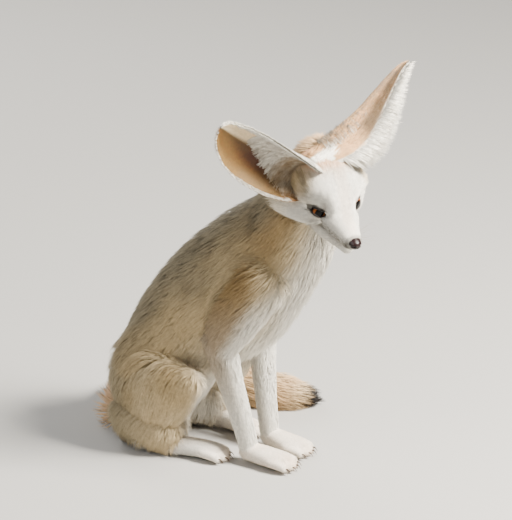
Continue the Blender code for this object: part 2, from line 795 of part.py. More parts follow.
def build():
    clear_scene()
    nodes = {}
    body, face = flesh(), head_shape()
    head_region = form("head_region", HEAD_REGION, place=on_head, side=HEAD_SIDE, around=26)
    nodes["head"] = combined(face, head_region, "INTERSECT")
    whole = cut_clear(body, head_region)
    discard(head_region)
    # The neck is parted from the trunk in front of the shoulders.
    collar, collar_way = at(0, 0.088, 0.205), at(0, 0.62, 0.78)
    above = collar + collar_way * GAP / 2
    nodes["neck"] = largest_only(halved(copied(whole, "neck"), above, collar_way))
    halved(whole, collar - collar_way * GAP / 2, -collar_way)
    halved(whole, at(0, 0, 0), (0, 0, 1))
    for side, mirror in SIDES.items():
        fore = form("fore_region", FORE_REGION, mirror=mirror, around=12, steps=1)
        hind = form("hind_region", HIND_REGION, mirror=mirror, around=12, steps=1)
        nodes[f"foreleg_{side}"] = combined(copied(whole, "leg"), fore, "INTERSECT")
        nodes[f"hindleg_{side}"] = combined(copied(whole, "leg"), hind, "INTERSECT")
        cut_clear(nodes[f"hindleg_{side}"], fore)
        nodes[f"forepaw_{side}"] = paw("forepaw", FOREPAW[side], mirror)
        nodes[f"hindfoot_{side}"] = paw("hindfoot", HINDFOOT, mirror)
        cut_clear(nodes[f"foreleg_{side}"], nodes[f"forepaw_{side}"])
        cut_clear(nodes[f"hindleg_{side}"], nodes[f"hindfoot_{side}"])
        cut_clear(whole, fore, hind, nodes[f"hindfoot_{side}"])
        discard(fore, hind)
    nodes["torso"] = whole
    nose = form("nose", NOSE, place=on_head, side=HEAD_SIDE, around=12, steps=1)
    cut_clear(nodes["head"], nose)
    for side, mirror in SIDES.items():
        eye = ball("eye", EYE_RADIUS, eye_centre(mirror))
        for cutter in (eye_opening(side), mouth_cutter(mirror)):
            combined(nodes["head"], cutter, "DIFFERENCE")
            discard(cutter)
        cut_clear(nodes["head"], eye)
        nostril = ball("nostril", NOSTRIL_RADIUS, on_head(mirror * NOSTRIL[0], *NOSTRIL[1:]), 8)
        combined(nose, nostril, "DIFFERENCE")
        discard(nostril)
        nodes[f"eye_{side}"] = eye
    nodes["nose"] = nose
    for side in SIDES:
        nodes[f"ear_{side}"] = cut_clear(ear(side), nodes["head"], nodes["neck"])
    cut_clear(nodes["ear_right"], nodes["ear_left"])
    for side, mirror in SIDES.items():
        with_locks(nodes[f"ear_{side}"], fringe_locks(side))
        with_locks(nodes["head"], ruff_locks(mirror), nodes["neck"])
    core = form("tail", TAIL, side=UPWARDS, around=10, steps=3)
    for name in ("torso", "hindleg_left"):
        cut_clear(nodes[name], core)
    nodes |= tail_lengths(halved(with_locks(core, tail_locks()), at(0, 0, 0), UPWARDS))
    forelegs = [nodes[f"foreleg_{side}"] for side in SIDES]
    with_locks(nodes["neck"], bib_locks(NECK_LOCKS), nodes["torso"], *forelegs)
    with_locks(nodes["torso"], bib_locks(CHEST_LOCKS), *forelegs)
    for name, made in nodes.items():
        if name.split("_")[0] not in WHOLE:
            made.data.calc_loop_triangles()
            thinned(made, KEPT * len(made.data.loop_triangles))
    stand_on_origin(nodes.values())
    for name, made in nodes.items():
        dressed(made, name, NODE_COATS.get(name.split("_")[0], "sandy coat"))


build()
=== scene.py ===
"""The looks of a fennec fox, life size, sitting with its head turned to its right.

One skin stands for the flesh and lies inside the solids by the depth of the coat. The coat is
solid tufts of hair that grow out of it along the lie of the fur, out to the tips of the solids.
"""

import math

import bpy
import numpy as np
from mathutils import Matrix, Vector
from mathutils.kdtree import KDTree


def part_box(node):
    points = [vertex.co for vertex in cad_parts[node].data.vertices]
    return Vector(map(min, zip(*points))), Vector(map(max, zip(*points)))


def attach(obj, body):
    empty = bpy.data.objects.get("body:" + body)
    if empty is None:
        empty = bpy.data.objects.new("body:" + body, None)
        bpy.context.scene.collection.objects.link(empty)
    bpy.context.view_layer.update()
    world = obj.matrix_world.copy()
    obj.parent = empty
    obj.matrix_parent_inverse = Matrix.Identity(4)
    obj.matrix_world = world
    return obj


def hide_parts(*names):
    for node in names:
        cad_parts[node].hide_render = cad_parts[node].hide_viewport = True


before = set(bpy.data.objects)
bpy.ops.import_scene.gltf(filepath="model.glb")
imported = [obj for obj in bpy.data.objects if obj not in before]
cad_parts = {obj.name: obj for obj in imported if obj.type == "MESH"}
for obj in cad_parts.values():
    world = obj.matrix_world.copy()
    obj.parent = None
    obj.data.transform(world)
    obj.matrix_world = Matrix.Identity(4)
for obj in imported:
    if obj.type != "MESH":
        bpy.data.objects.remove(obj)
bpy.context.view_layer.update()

# The fox's own axes. Places are given by how far they lie to its left, ahead of it and up, on the
# body or on the head, and the head's are turned to its right, dipped and rolled.
HEAD_SEAT = np.array([-0.0244, -0.1524, 0.252])
HEAD_TURN, HEAD_DIP, HEAD_ROLL = math.radians(-30), math.radians(30), math.radians(-3)
HEAD_AXES = np.array(
    Matrix.Rotation(HEAD_TURN, 3, "Z")
    @ Matrix.Rotation(HEAD_DIP, 3, "X")
    @ Matrix.Rotation(HEAD_ROLL, 3, "Y")
)
EYE_OUT, EYE_UP = 0.0155, -0.0040
FACING = np.array([1, -1, 1])
SIDES = {"left": 1, "right": -1}


def body_way(left, ahead, up):
    return np.array([left, -ahead, up], float)


def head_way(left, fore, up):
    return HEAD_AXES @ np.array([left, -fore, up], float)


low, high = (np.array(corner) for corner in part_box("eye_right"))
ORIGIN = (low + high) / 2 - HEAD_SEAT - head_way(-EYE_OUT, 0, EYE_UP)


def on_body(spots):
    return np.asarray(spots, float) * FACING + ORIGIN


def on_head(spots):
    return ORIGIN + HEAD_SEAT + (np.asarray(spots, float) * FACING) @ HEAD_AXES.T


def seen_from_body(points):
    return (points - ORIGIN) * FACING


def seen_from_head(points):
    return ((points - ORIGIN - HEAD_SEAT) @ HEAD_AXES) * FACING


def eye_centre(mirror):
    return on_head((mirror * EYE_OUT, 0, EYE_UP))


def unit(rows):
    return rows / np.maximum(np.linalg.norm(rows, axis=-1, keepdims=True), 1e-12)


def smooth(value, start, end):
    share = np.clip((value - start) / (end - start), 0, 1)
    return share * share * (3 - 2 * share)


# The skin of the whole fox. It is flesh under the coat, grown together from round forms, each a
# row of stations: left, ahead, up, half width, half depth, depth of the coat and length of hair.
# It is modelled on a fine grid, then the mouth and the hollows of the eyes are pressed in.
TORSO = (
    (0.000, -0.036, 0.034, 0.042, 0.036, 0.009, 0.019),
    (0.000, -0.028, 0.062, 0.048, 0.045, 0.010, 0.021),
    (0.000, -0.009, 0.097, 0.045, 0.050, 0.010, 0.021),
    (0.000, 0.018, 0.128, 0.042, 0.055, 0.010, 0.021),
    (0.000, 0.044, 0.153, 0.041, 0.057, 0.010, 0.021),
    (0.000, 0.069, 0.181, 0.038, 0.052, 0.010, 0.021),
    (-0.001, 0.091, 0.206, 0.034, 0.045, 0.010, 0.020),
    (-0.005, 0.108, 0.229, 0.031, 0.038, 0.009, 0.018),
    (-0.011, 0.126, 0.252, 0.028, 0.031, 0.008, 0.016),
)
HIP = (
    (0.016, 0.006, 0.122, 0.026, 0.037, 0.010, 0.021),
    (0.023, -0.010, 0.098, 0.028, 0.038, 0.010, 0.020),
    (0.028, -0.024, 0.074, 0.026, 0.040, 0.009, 0.019),
)
CROWN = (
    (-0.008, 0.124, 0.280, 0.0240, 0.0190, 0.007, 0.014),
    (-0.005, 0.104, 0.258, 0.0220, 0.0180, 0.008, 0.018),
    (-0.003, 0.088, 0.237, 0.0210, 0.0160, 0.008, 0.020),
)
UPPER_ARM = (
    (0.028, 0.084, 0.172, 0.018, 0.025, 0.006, 0.016),
    (0.033, 0.064, 0.140, 0.018, 0.024, 0.005, 0.014),
    (0.034, 0.050, 0.112, 0.0145, 0.017, 0.004, 0.011),
)
FOREARM_LEFT = (
    (0.033, 0.048, 0.112, 0.0140, 0.0165, 0.0040, 0.011),
    (0.027, 0.053, 0.084, 0.0110, 0.0130, 0.0028, 0.009),
    (0.020, 0.060, 0.052, 0.0095, 0.0108, 0.0022, 0.007),
    (0.016, 0.065, 0.026, 0.0090, 0.0098, 0.0018, 0.006),
    (0.015, 0.067, 0.014, 0.0088, 0.0090, 0.0015, 0.005),
)
FOREARM_RIGHT = (
    (0.034, 0.047, 0.112, 0.0140, 0.0165, 0.0040, 0.011),
    (0.031, 0.052, 0.084, 0.0112, 0.0132, 0.0028, 0.009),
    (0.027, 0.060, 0.052, 0.0096, 0.0110, 0.0022, 0.007),
    (0.024, 0.066, 0.026, 0.0090, 0.0098, 0.0018, 0.006),
    (0.023, 0.068, 0.014, 0.0088, 0.0090, 0.0015, 0.005),
)
THIGH = (
    (0.026, -0.036, 0.058, 0.029, 0.041, 0.009, 0.019),
    (0.042, -0.010, 0.062, 0.024, 0.040, 0.009, 0.018),
    (0.047, 0.013, 0.071, 0.017, 0.027, 0.006, 0.014),
    (0.049, 0.027, 0.078, 0.0115, 0.0145, 0.004, 0.012),
)
SHANK = (
    (0.048, 0.026, 0.076, 0.0115, 0.0140, 0.004, 0.012),
    (0.043, 0.004, 0.048, 0.0150, 0.0180, 0.006, 0.015),
    (0.038, -0.026, 0.022, 0.0150, 0.0170, 0.005, 0.014),
)
SEAT = (
    (0.030, -0.038, 0.028, 0.026, 0.028, 0.008, 0.016),
    (0.036, -0.010, 0.025, 0.023, 0.026, 0.007, 0.014),
)
FOREPAW_LEFT = (
    (0.0150, 0.0670, 0.0120, 0.0092, 0.0095, 0.0012, 0.0045),
    (0.0140, 0.0830, 0.0095, 0.0122, 0.0088, 0.0010, 0.0040),
    (0.0135, 0.0950, 0.0085, 0.0132, 0.0078, 0.0010, 0.0038),
)
FOREPAW_RIGHT = (
    (0.0230, 0.0680, 0.0120, 0.0092, 0.0095, 0.0012, 0.0045),
    (0.0220, 0.0860, 0.0095, 0.0122, 0.0088, 0.0010, 0.0040),
    (0.0215, 0.0990, 0.0085, 0.0132, 0.0078, 0.0010, 0.0038),
)
HINDFOOT = (
    (0.0400, -0.0300, 0.0120, 0.0090, 0.0100, 0.0014, 0.006),
    (0.0370, 0.0000, 0.0090, 0.0088, 0.0085, 0.0012, 0.0050),
    (0.0330, 0.0250, 0.0088, 0.0112, 0.0084, 0.0010, 0.0042),
    (0.0310, 0.0380, 0.0082, 0.0124, 0.0076, 0.0010, 0.0038),
)
TAIL = (
    (0.002, -0.070, 0.014, 0.014, 0.011, 0.004, 0.028),
    (0.040, -0.089, 0.013, 0.013, 0.011, 0.005, 0.034),
    (0.078, -0.076, 0.013, 0.013, 0.012, 0.005, 0.036),
    (0.098, -0.040, 0.013, 0.013, 0.012, 0.005, 0.036),
    (0.101, -0.002, 0.012, 0.012, 0.011, 0.005, 0.033),
    (0.107, 0.028, 0.010, 0.010, 0.009, 0.0045, 0.022),
    (0.117, 0.047, 0.007, 0.006, 0.005, 0.0025, 0.013),
)
SKULL = (
    (0.000, -0.020, 0.006, 0.0325, 0.0265, 0.0045, 0.011),
    (0.000, -0.008, 0.003, 0.0310, 0.0235, 0.0030, 0.0075),
    (0.000, 0.000, -0.001, 0.0255, 0.0190, 0.0020, 0.0055),
    (0.000, 0.007, -0.005, 0.0218, 0.0165, 0.0015, 0.0045),
    (0.000, 0.014, -0.008, 0.0168, 0.0135, 0.0012, 0.0038),
    (0.000, 0.024, -0.010, 0.0124, 0.0106, 0.0009, 0.0030),
    (0.000, 0.033, -0.011, 0.0094, 0.0088, 0.0007, 0.0022),
)
CHEEK = (
    (0.0150, 0.006, -0.0120, 0.0050, 0.0060, 0.0015, 0.0055),
    (0.0210, -0.006, -0.0120, 0.0100, 0.0125, 0.0030, 0.010),
    (0.0255, -0.018, -0.0120, 0.0135, 0.0180, 0.0050, 0.020),
)
WHISKER_PAD = (
    (0.0060, 0.021, -0.0130, 0.0056, 0.0062, 0.0008, 0.0028),
    (0.0048, 0.030, -0.0130, 0.0052, 0.0056, 0.0007, 0.0024),
)
JAW = (
    (0.000, -0.022, -0.0240, 0.0220, 0.0155, 0.0045, 0.015),
    (0.000, 0.004, -0.0250, 0.0140, 0.0140, 0.0030, 0.010),
    (0.000, 0.016, -0.0245, 0.0105, 0.0100, 0.0020, 0.0065),
    (0.000, 0.025, -0.0240, 0.0076, 0.0068, 0.0012, 0.0042),
    (0.000, 0.0315, -0.0232, 0.0056, 0.0052, 0.0008, 0.0030),
)
TOE_RADIUS, TOE_SPREAD, TOE_COAT = 0.0047, 0.0064, 0.0008
# What leads the hair on each form: how much it follows the form's line, and a pull besides.
LIES = {
    "torso": (-1, (0, 0, 0)),
    "crown": (1, (0, 0, 0)),
    "upper_arm": (1, (0, -0.25, 0)),
    "forearm": (1, (0, 0, 0)),
    "hip": (1, (0.1, -0.2, -0.3)),
    "thigh": (0.25, (0.1, -0.45, -0.9)),
    "shank": (0.6, (0.1, -0.3, -0.6)),
    "seat": (0.1, (0.1, -0.4, -0.9)),
    "forepaw": (1, (0, 0, 0)),
    "hindfoot": (1, (0, 0, 0)),
    "toe": (1, (0, 0, 0)),
    "tail": (1, (0, 0, 0)),
    "skull": (-1, (0, 0, 0)),
    "cheek": (0.3, (0.5, -0.7, -0.45)),
    "whisker_pad": (-1, (0.3, 0, -0.2)),
    "jaw": (-1, (0, 0, -0.3)),
}
GRAIN, OVER_FLOOR = 0.0011, 0.0006
# Where the darker fur at the foot of each ear has its middle.
EAR_FEET = (-0.030, -0.012, 0.012), (0.030, -0.012, 0.012)
EYE_RADIUS, LID_RADIUS = 0.0075, 0.0080
EYE_TURN, EYE_LIFT, EYE_SLANT = math.radians(24), math.radians(14), math.radians(-14)
EYE_WIDTH = 0.0165
EYE_OPEN = {"left": 0.0085, "right": 0.0056}
MOUTH = (
    (0.0035, 0.0385, -0.0178),
    (0.0078, 0.0310, -0.0190),
    (0.0118, 0.0200, -0.0196),
    (0.0165, 0.0090, -0.0190),
    (0.0185, 0.0040, -0.0172),
)


def linear(red, green, blue):
    """A colour as the eye meets it in bright soft light, in 0 to 255, as reflected light."""
    return (np.array([red, green, blue]) / 255) ** 2.8


WHITE = linear(246, 242, 232)
CREAM = linear(226, 210, 178)
SAND = linear(198, 176, 136)
TAN = linear(156, 128, 82)
KHAKI = linear(152, 145, 126)
GRIZZLE = linear(84, 74, 58)
PEACH = linear(228, 184, 142)
RUSSET = linear(122, 74, 42)
BLACKISH = linear(38, 28, 23)


def curved(stations, steps):
    """The stations' numbers with steps - 1 more between each two, on a smooth curve."""
    rows = np.array(stations, float)
    ends = np.vstack([2 * rows[0] - rows[1], rows, 2 * rows[-1] - rows[-2]])
    made = []
    for a, b, c, d in zip(ends, ends[1:], ends[2:], ends[3:]):
        for t in np.arange(steps) / steps:
            bend = (2 * a - 5 * b + 4 * c - d) * t**2 + (3 * b - a - 3 * c + d) * t**3
            made.append(b + 0.5 * ((c - a) * t + bend))
    return np.array([*made, rows[-1]])


def tube(middles, across, down, around):
    """Points and faces of a closed tube, from the middles of its rings and their half widths."""
    turns = np.arange(around) * 2 * math.pi / around
    rings = middles[:, None] + across[:, None] * np.cos(turns)[None, :, None]
    rings = rings + down[:, None] * np.sin(turns)[None, :, None]
    k = np.arange(around)
    step = np.stack([k, (k + 1) % around, (k + 1) % around + around, k + around], 1)
    faces = [tuple(face) for ring in range(len(middles) - 1) for face in step + ring * around]
    last = (len(middles) - 1) * around
    return rings.reshape(-1, 3), [*faces, tuple(k[::-1]), tuple(k + last)]


def meshed(name, parts):
    """One object from a list of points and faces."""
    points, faces = [], []
    for spots, around in parts:
        start = sum(len(p) for p in points)
        points.append(spots)
        faces += [tuple(int(v) + start for v in face) for face in around]
    mesh = bpy.data.meshes.new(name)
    mesh.from_pydata(np.concatenate(points).tolist(), [], faces)
    made = bpy.data.objects.new(name, mesh)
    bpy.context.scene.collection.objects.link(made)
    mesh.shade_smooth()
    return made


def spine(stations, on, side, mirror):
    """The curved line of a form: its numbers, points, way along, and the ways across and down."""
    line = curved([(mirror * row[0], *row[1:]) for row in stations], 6)
    spots = on(line[:, :3])
    ways = unit(np.gradient(spots, axis=0))
    across = unit(side - ways * (ways @ side)[:, None])
    return line, spots, ways, across, np.cross(ways, across)


def form(line, spots, ways, across, down, around=28):
    """The round skin of a form, inside its coat and domed at both ends."""
    wide, deep = (line[:, 3:5] - line[:, 5:6]).T
    middles, a, d = list(spots), list(across * wide[:, None]), list(down * deep[:, None])
    for end, sense in ((0, -1), (-1, 1)):
        middle, wider, deeper, reach = middles[end], a[end], d[end], (wide[end] + deep[end]) / 2
        for turn in np.radians((28, 52, 72)):
            row = (middle + sense * ways[end] * reach * math.sin(turn), wider, deeper)
            place = 0 if end == 0 else len(middles)
            middles.insert(place, row[0])
            a.insert(place, wider * math.cos(turn))
            d.insert(place, deeper * math.cos(turn))
    return tube(np.array(middles), np.array(a), np.array(d), around)


def globe(centre, radius, ways, rings, around):
    """A closed ball, with its rings across the last of the three ways."""
    turns = np.radians(np.linspace(-89, 89, rings))[:, None]
    wide = radius * np.cos(turns)
    return tube(centre + ways[2] * radius * np.sin(turns), ways[0] * wide, ways[1] * wide, around)


def toes(paw):
    """The four toes of a paw, each a short row of stations."""
    left, ahead, up = paw[-1][:3]
    made = []
    for off in (-1.5, -0.5, 0.5, 1.5):
        out, reach, size = left + off * TOE_SPREAD, 0.0125 - 0.0028 * abs(off), TOE_RADIUS
        coat = (TOE_COAT, 0.0030)
        made.append(
            (
                (out, ahead - 0.006, up, size, size, *coat),
                (out, ahead + reach * 0.6, up - 0.0014, size, size, *coat),
                (out, ahead + reach, up - 0.0034, size * 0.8, size * 0.8, *coat),
            )
        )
    return made


BODY_SIDE, HEAD_SIDE, BOTH = body_way(1, 0, 0), head_way(1, 0, 0), (1, -1)
SPINES = []
for name, stations, on, side, mirrors in (
    ("torso", TORSO, on_body, BODY_SIDE, (1,)),
    ("crown", CROWN, on_body, BODY_SIDE, (1,)),
    ("hip", HIP, on_body, BODY_SIDE, BOTH),
    ("upper_arm", UPPER_ARM, on_body, BODY_SIDE, BOTH),
    ("forearm", FOREARM_LEFT, on_body, BODY_SIDE, (1,)),
    ("forearm", FOREARM_RIGHT, on_body, BODY_SIDE, (-1,)),
    ("thigh", THIGH, on_body, BODY_SIDE, BOTH),
    ("shank", SHANK, on_body, BODY_SIDE, BOTH),
    ("seat", SEAT, on_body, BODY_SIDE, BOTH),
    ("forepaw", FOREPAW_LEFT, on_body, BODY_SIDE, (1,)),
    ("forepaw", FOREPAW_RIGHT, on_body, BODY_SIDE, (-1,)),
    ("hindfoot", HINDFOOT, on_body, BODY_SIDE, BOTH),
    ("tail", TAIL, on_body, body_way(0, 0, 1), (1,)),
    ("skull", SKULL, on_head, HEAD_SIDE, (1,)),
    ("cheek", CHEEK, on_head, HEAD_SIDE, BOTH),
    ("whisker_pad", WHISKER_PAD, on_head, HEAD_SIDE, BOTH),
    ("jaw", JAW, on_head, HEAD_SIDE, (1,)),
    *(("toe", toe, on_body, BODY_SIDE, (1,)) for toe in toes(FOREPAW_LEFT)),
    *(("toe", toe, on_body, BODY_SIDE, (-1,)) for toe in toes(FOREPAW_RIGHT)),
    *(("toe", toe, on_body, BODY_SIDE, BOTH) for toe in toes(HINDFOOT)),
):
    follow, pull = LIES[name]
    for mirror in mirrors:
        line = spine(stations, on, side, mirror)
        pulled = (head_way if on is on_head else body_way)(mirror * pull[0], *pull[1:])
        SPINES.append((name, mirror, *line, follow * line[2] + pulled))


def survey(points):
    """What the nearest forms say of each point: which is nearest, how far along and round it the
    point lies, the lie and length of the hair there and the depth of the coat."""
    count = len(points)
    nearest, main = np.full(count, np.inf), np.zeros(count, int)
    share, turn, total = np.zeros(count), np.zeros(count), np.zeros(count)
    blend = np.zeros((count, 5))
    for k, (_, _, line, spots, _, across, down, lies) in enumerate(SPINES):
        apart = points[:, None] - spots[None]
        radius = line[:, 3:5].mean(1)
        reach = np.linalg.norm(apart, axis=2) / radius
        at = reach.argmin(1)
        near = reach[np.arange(count), at]
        offset = apart[np.arange(count), at]
        weight = 1 / np.maximum(near, 0.05) ** 8
        total += weight
        blend += weight[:, None] * np.hstack([lies[at], line[at, 5:7]])
        closer = near < nearest
        nearest[closer], main[closer] = near[closer], k
        share[closer] = at[closer] / (len(spots) - 1)
        angle = np.arctan2((offset * down[at]).sum(1), (offset * across[at]).sum(1))
        turn[closer] = angle[closer]
    blend /= total[:, None]
    return {
        "main": main,
        "share": share,
        "turn": turn,
        "lie": unit(blend[:, :3]),
        "coat": blend[:, 3],
        "hair": blend[:, 4],
    }


def gaze(side):
    """The way an eye looks, the line across it from its inner corner out, and the way over it."""
    mirror, level = SIDES[side], math.cos(EYE_LIFT)
    aside, fore = mirror * math.sin(EYE_TURN), math.cos(EYE_TURN)
    ahead = head_way(aside * level, fore * level, math.sin(EYE_LIFT))
    flat = head_way(mirror * fore, -mirror * aside, 0)
    across = flat * math.cos(EYE_SLANT) + np.cross(ahead, flat) * -mirror * math.sin(EYE_SLANT)
    across = unit(across - ahead * (across @ ahead))
    return ahead, across, np.cross(across, ahead) * mirror


def almond(side, around, grow=0.0):
    """The outline of the open eye, across and over it, made wider all round by that much."""
    turns = np.arange(around) * 2 * math.pi / around
    pinch = np.abs(np.sin(turns)) ** 1.4 * np.sign(np.sin(turns))
    wide, tall = EYE_WIDTH / 2 + grow, EYE_OPEN[side] / 2 + grow
    return np.cos(turns) * wide, pinch * tall


def mouth_line(mirror):
    return on_head(curved([(mirror * row[0], *row[1:]) for row in MOUTH], 8))


def away_from(points, line):
    """How far each point is from the nearest point of a line."""
    return np.linalg.norm(points[:, None] - line[None], axis=2).min(1)


def alone(obj):
    """Makes the object the only selected one."""
    bpy.ops.object.select_all(action="DESELECT")
    bpy.context.view_layer.objects.active = obj
    obj.select_set(True)


def applied(obj, kind, **settings):
    """Puts one of Blender's modifiers on the object and applies it."""
    alone(obj)
    made = obj.modifiers.new(kind.lower(), kind)
    for setting, value in settings.items():
        setattr(made, setting, value)
    bpy.ops.object.modifier_apply(modifier=made.name)


def outwards(obj):
    """Turns all faces of a closed mesh to point outwards."""
    alone(obj)
    bpy.ops.object.mode_set(mode="EDIT")
    bpy.ops.mesh.select_all(action="SELECT")
    bpy.ops.mesh.normals_make_consistent(inside=False)
    bpy.ops.object.mode_set(mode="OBJECT")


def read(mesh, what):
    """The place, co, or the normal of each point of a mesh."""
    numbers = np.zeros(len(mesh.vertices) * 3, np.float32)
    mesh.vertices.foreach_get(what, numbers)
    return numbers.reshape(-1, 3).astype(float)


def moved(mesh, points):
    """Moves the points of a mesh to these places."""
    mesh.vertices.foreach_set("co", points.astype(np.float32).ravel())
    mesh.update()


bulges = [globe(eye_centre(mirror), LID_RADIUS, np.eye(3), 12, 24) for mirror in BOTH]
skin = meshed("skin", [form(*s[2:7]) for s in SPINES] + bulges)
applied(skin, "REMESH", mode="VOXEL", voxel_size=GRAIN)
applied(skin, "SMOOTH", factor=0.5, iterations=6)
skin_points, skin_normals = read(skin.data, "co"), read(skin.data, "normal")
for mirror in BOTH:
    press = 0.0016 * (1 - smooth(away_from(skin_points, mouth_line(mirror)), 0.0004, 0.0016))
    skin_points -= skin_normals * press[:, None]
for side, mirror in SIDES.items():
    ahead, across, over = gaze(side)
    off = skin_points - eye_centre(mirror)
    reach = np.linalg.norm(off, axis=1)
    # The left eye's hollow is pressed further into the bridge of the nose.
    bridge = smooth(off @ across, -0.002, -0.008) * (side == "left")
    share = smooth(off @ ahead / reach, 0.08 - 0.25 * bridge, 0.56 - 0.3 * bridge)
    share *= smooth(reach, 0.0185 + 0.002 * bridge, 0.0125 + 0.002 * bridge)
    share *= np.maximum(1 - LID_RADIUS / reach, 0)
    skin_points -= off * share[:, None]
    off = skin_points - eye_centre(mirror)
    x, y = off @ across / (EYE_WIDTH / 2 + 0.0006), off @ over / (EYE_OPEN[side] / 2 + 0.0006)
    inside = (off @ ahead > 0.002) & (np.abs(x) < 1)
    inside &= np.abs(y) < (1 - np.minimum(x**2, 1)) ** 0.7
    skin_points[inside] -= ahead * ((off @ ahead)[inside] - 0.003)[:, None]
skin_points[:, 2] = np.maximum(skin_points[:, 2], OVER_FLOOR)
moved(skin.data, skin_points)
applied(skin, "DECIMATE", ratio=0.58)
skin_points, skin_normals = read(skin.data, "co"), read(skin.data, "normal")
skin_survey = survey(skin_points)


def mottle(points, size, seed):
    """A soft, uneven pattern from -1 to 1 with patches of about that size."""
    draw = np.random.default_rng(seed)
    waves = unit(draw.normal(size=(9, 3))) * 2 * math.pi / size / draw.uniform(0.7, 1.6, (9, 1))
    return np.sin(points @ waves.T + draw.uniform(0, 7, 9)).mean(1) * 1.8


def laid(under, over, share):
    """The colours under, covered by that share of the colour over."""
    return under + (over - under) * np.clip(np.reshape(share, (-1, 1)), 0, 1)


def dorsal(points, stations, on, side):
    """From -1 on a form's under side to 1 along its back, and how far along it a point lies."""
    line, spots, _, _, down = spine(stations, on, side, 1)
    apart = points[:, None] - spots[None]
    at = np.linalg.norm(apart, axis=2).argmin(1)
    offset = apart[np.arange(len(points)), at]
    return (offset * down[at]).sum(1) / line[at, 4], at / (len(spots) - 1)


def around_eye(points, side):
    """How far each point is from the middle of the eye, where 1 is the edge of its opening."""
    ahead, across, over = gaze(side)
    off = points - eye_centre(SIDES[side])
    ring = np.hypot(off @ across / (EYE_WIDTH * 0.65), off @ over / (EYE_OPEN[side] / 2 + 0.0012))
    near = (off @ ahead > 0) & (np.linalg.norm(off, axis=1) < 0.0125)
    return np.where(near, ring, 9)


def trunk_colour(points, colour, names):
    """Sandy along the flanks, greyer on the back and white underneath."""
    uneven = mottle(points, 0.035, 3)
    back, along = dorsal(points, TORSO, on_body, BODY_SIDE)
    trunk = np.isin(names, ("torso", "crown", "hip", "upper_arm"))
    colour = laid(colour, CREAM, smooth(back + 0.1 * uneven, -0.85, -0.40) * trunk)
    colour = laid(colour, SAND, 0.75 * smooth(back + 0.12 * uneven, -0.60, -0.05) * trunk)
    colour = laid(colour, TAN, 0.6 * smooth(back, -0.6, 0) * smooth(along, 0.62, 0.82) * trunk)
    colour = laid(colour, KHAKI, 0.85 * smooth(back + 0.2 * uneven, -0.1, 0.8) * trunk)
    streaks = smooth(mottle(points * (1, 1, 0.22), 0.011, 9), 0.25, 0.7) * smooth(along, 0.2, 0.5)
    return laid(colour, GRIZZLE, 0.4 * streaks * smooth(back, -0.3, 0.3) * trunk)


def leg_colour(points, colour, names, side):
    """Tan on the outside of the shoulder and arm, partly a warmer coat and partly painted shade, and
    white in front, within and on the feet.
    """
    uneven = mottle(points, 0.035, 3)
    left, ahead, up = seen_from_body(points).T
    heights = (0.014, 0.05, 0.11, 0.17)
    outer = np.abs(left) - np.interp(up, heights, (0.019, 0.024, 0.033, 0.030))
    front = ahead - np.interp(up, heights, (0.067, 0.060, 0.048, 0.084))
    # The tan laid on the outside of the shoulder and arm is partly painted shade.
    shade = smooth(outer - 0.7 * front, -0.004, 0.012) * smooth(up, 0.03, 0.12)
    arms = np.isin(names, ("upper_arm", "forearm"))
    arm = laid(laid(colour, WHITE, 0.8 * smooth(up, 0.170, 0.110)), TAN, 0.75 * shade)
    rear = np.isin(names, ("thigh", "seat", "shank"))
    haunch = laid(np.tile(CREAM, (len(up), 1)), SAND, 0.55 + 0.4 * uneven)
    haunch = laid(haunch, KHAKI, 0.6 * smooth(ahead, 0.0, -0.05))
    haunch = laid(haunch, WHITE, smooth(side * left - 0.5 * ahead, 0.040, 0.018))
    feet = np.isin(names, ("forepaw", "hindfoot", "toe"))
    foot = laid(np.tile(WHITE, (len(up), 1)), PEACH, 0.2 + 0.2 * uneven)
    for part, tone in ((arms, arm), (rear, haunch), (feet, foot)):
        colour[part] = tone[part]
    return colour


def tail_colour(points):
    """Peach and sand, darker on top, with a blackish tip."""
    uneven = mottle(points, 0.035, 3)
    above, run = dorsal(points, TAIL, on_body, body_way(0, 0, 1))
    tail = laid(np.tile(CREAM, (len(points), 1)), PEACH, 0.65 + 0.4 * uneven)
    tail = laid(tail, TAN, 0.45 * smooth(above, -0.3, 0.8))
    return laid(tail, BLACKISH, smooth(run + 0.04 * uneven, 0.80, 0.93))


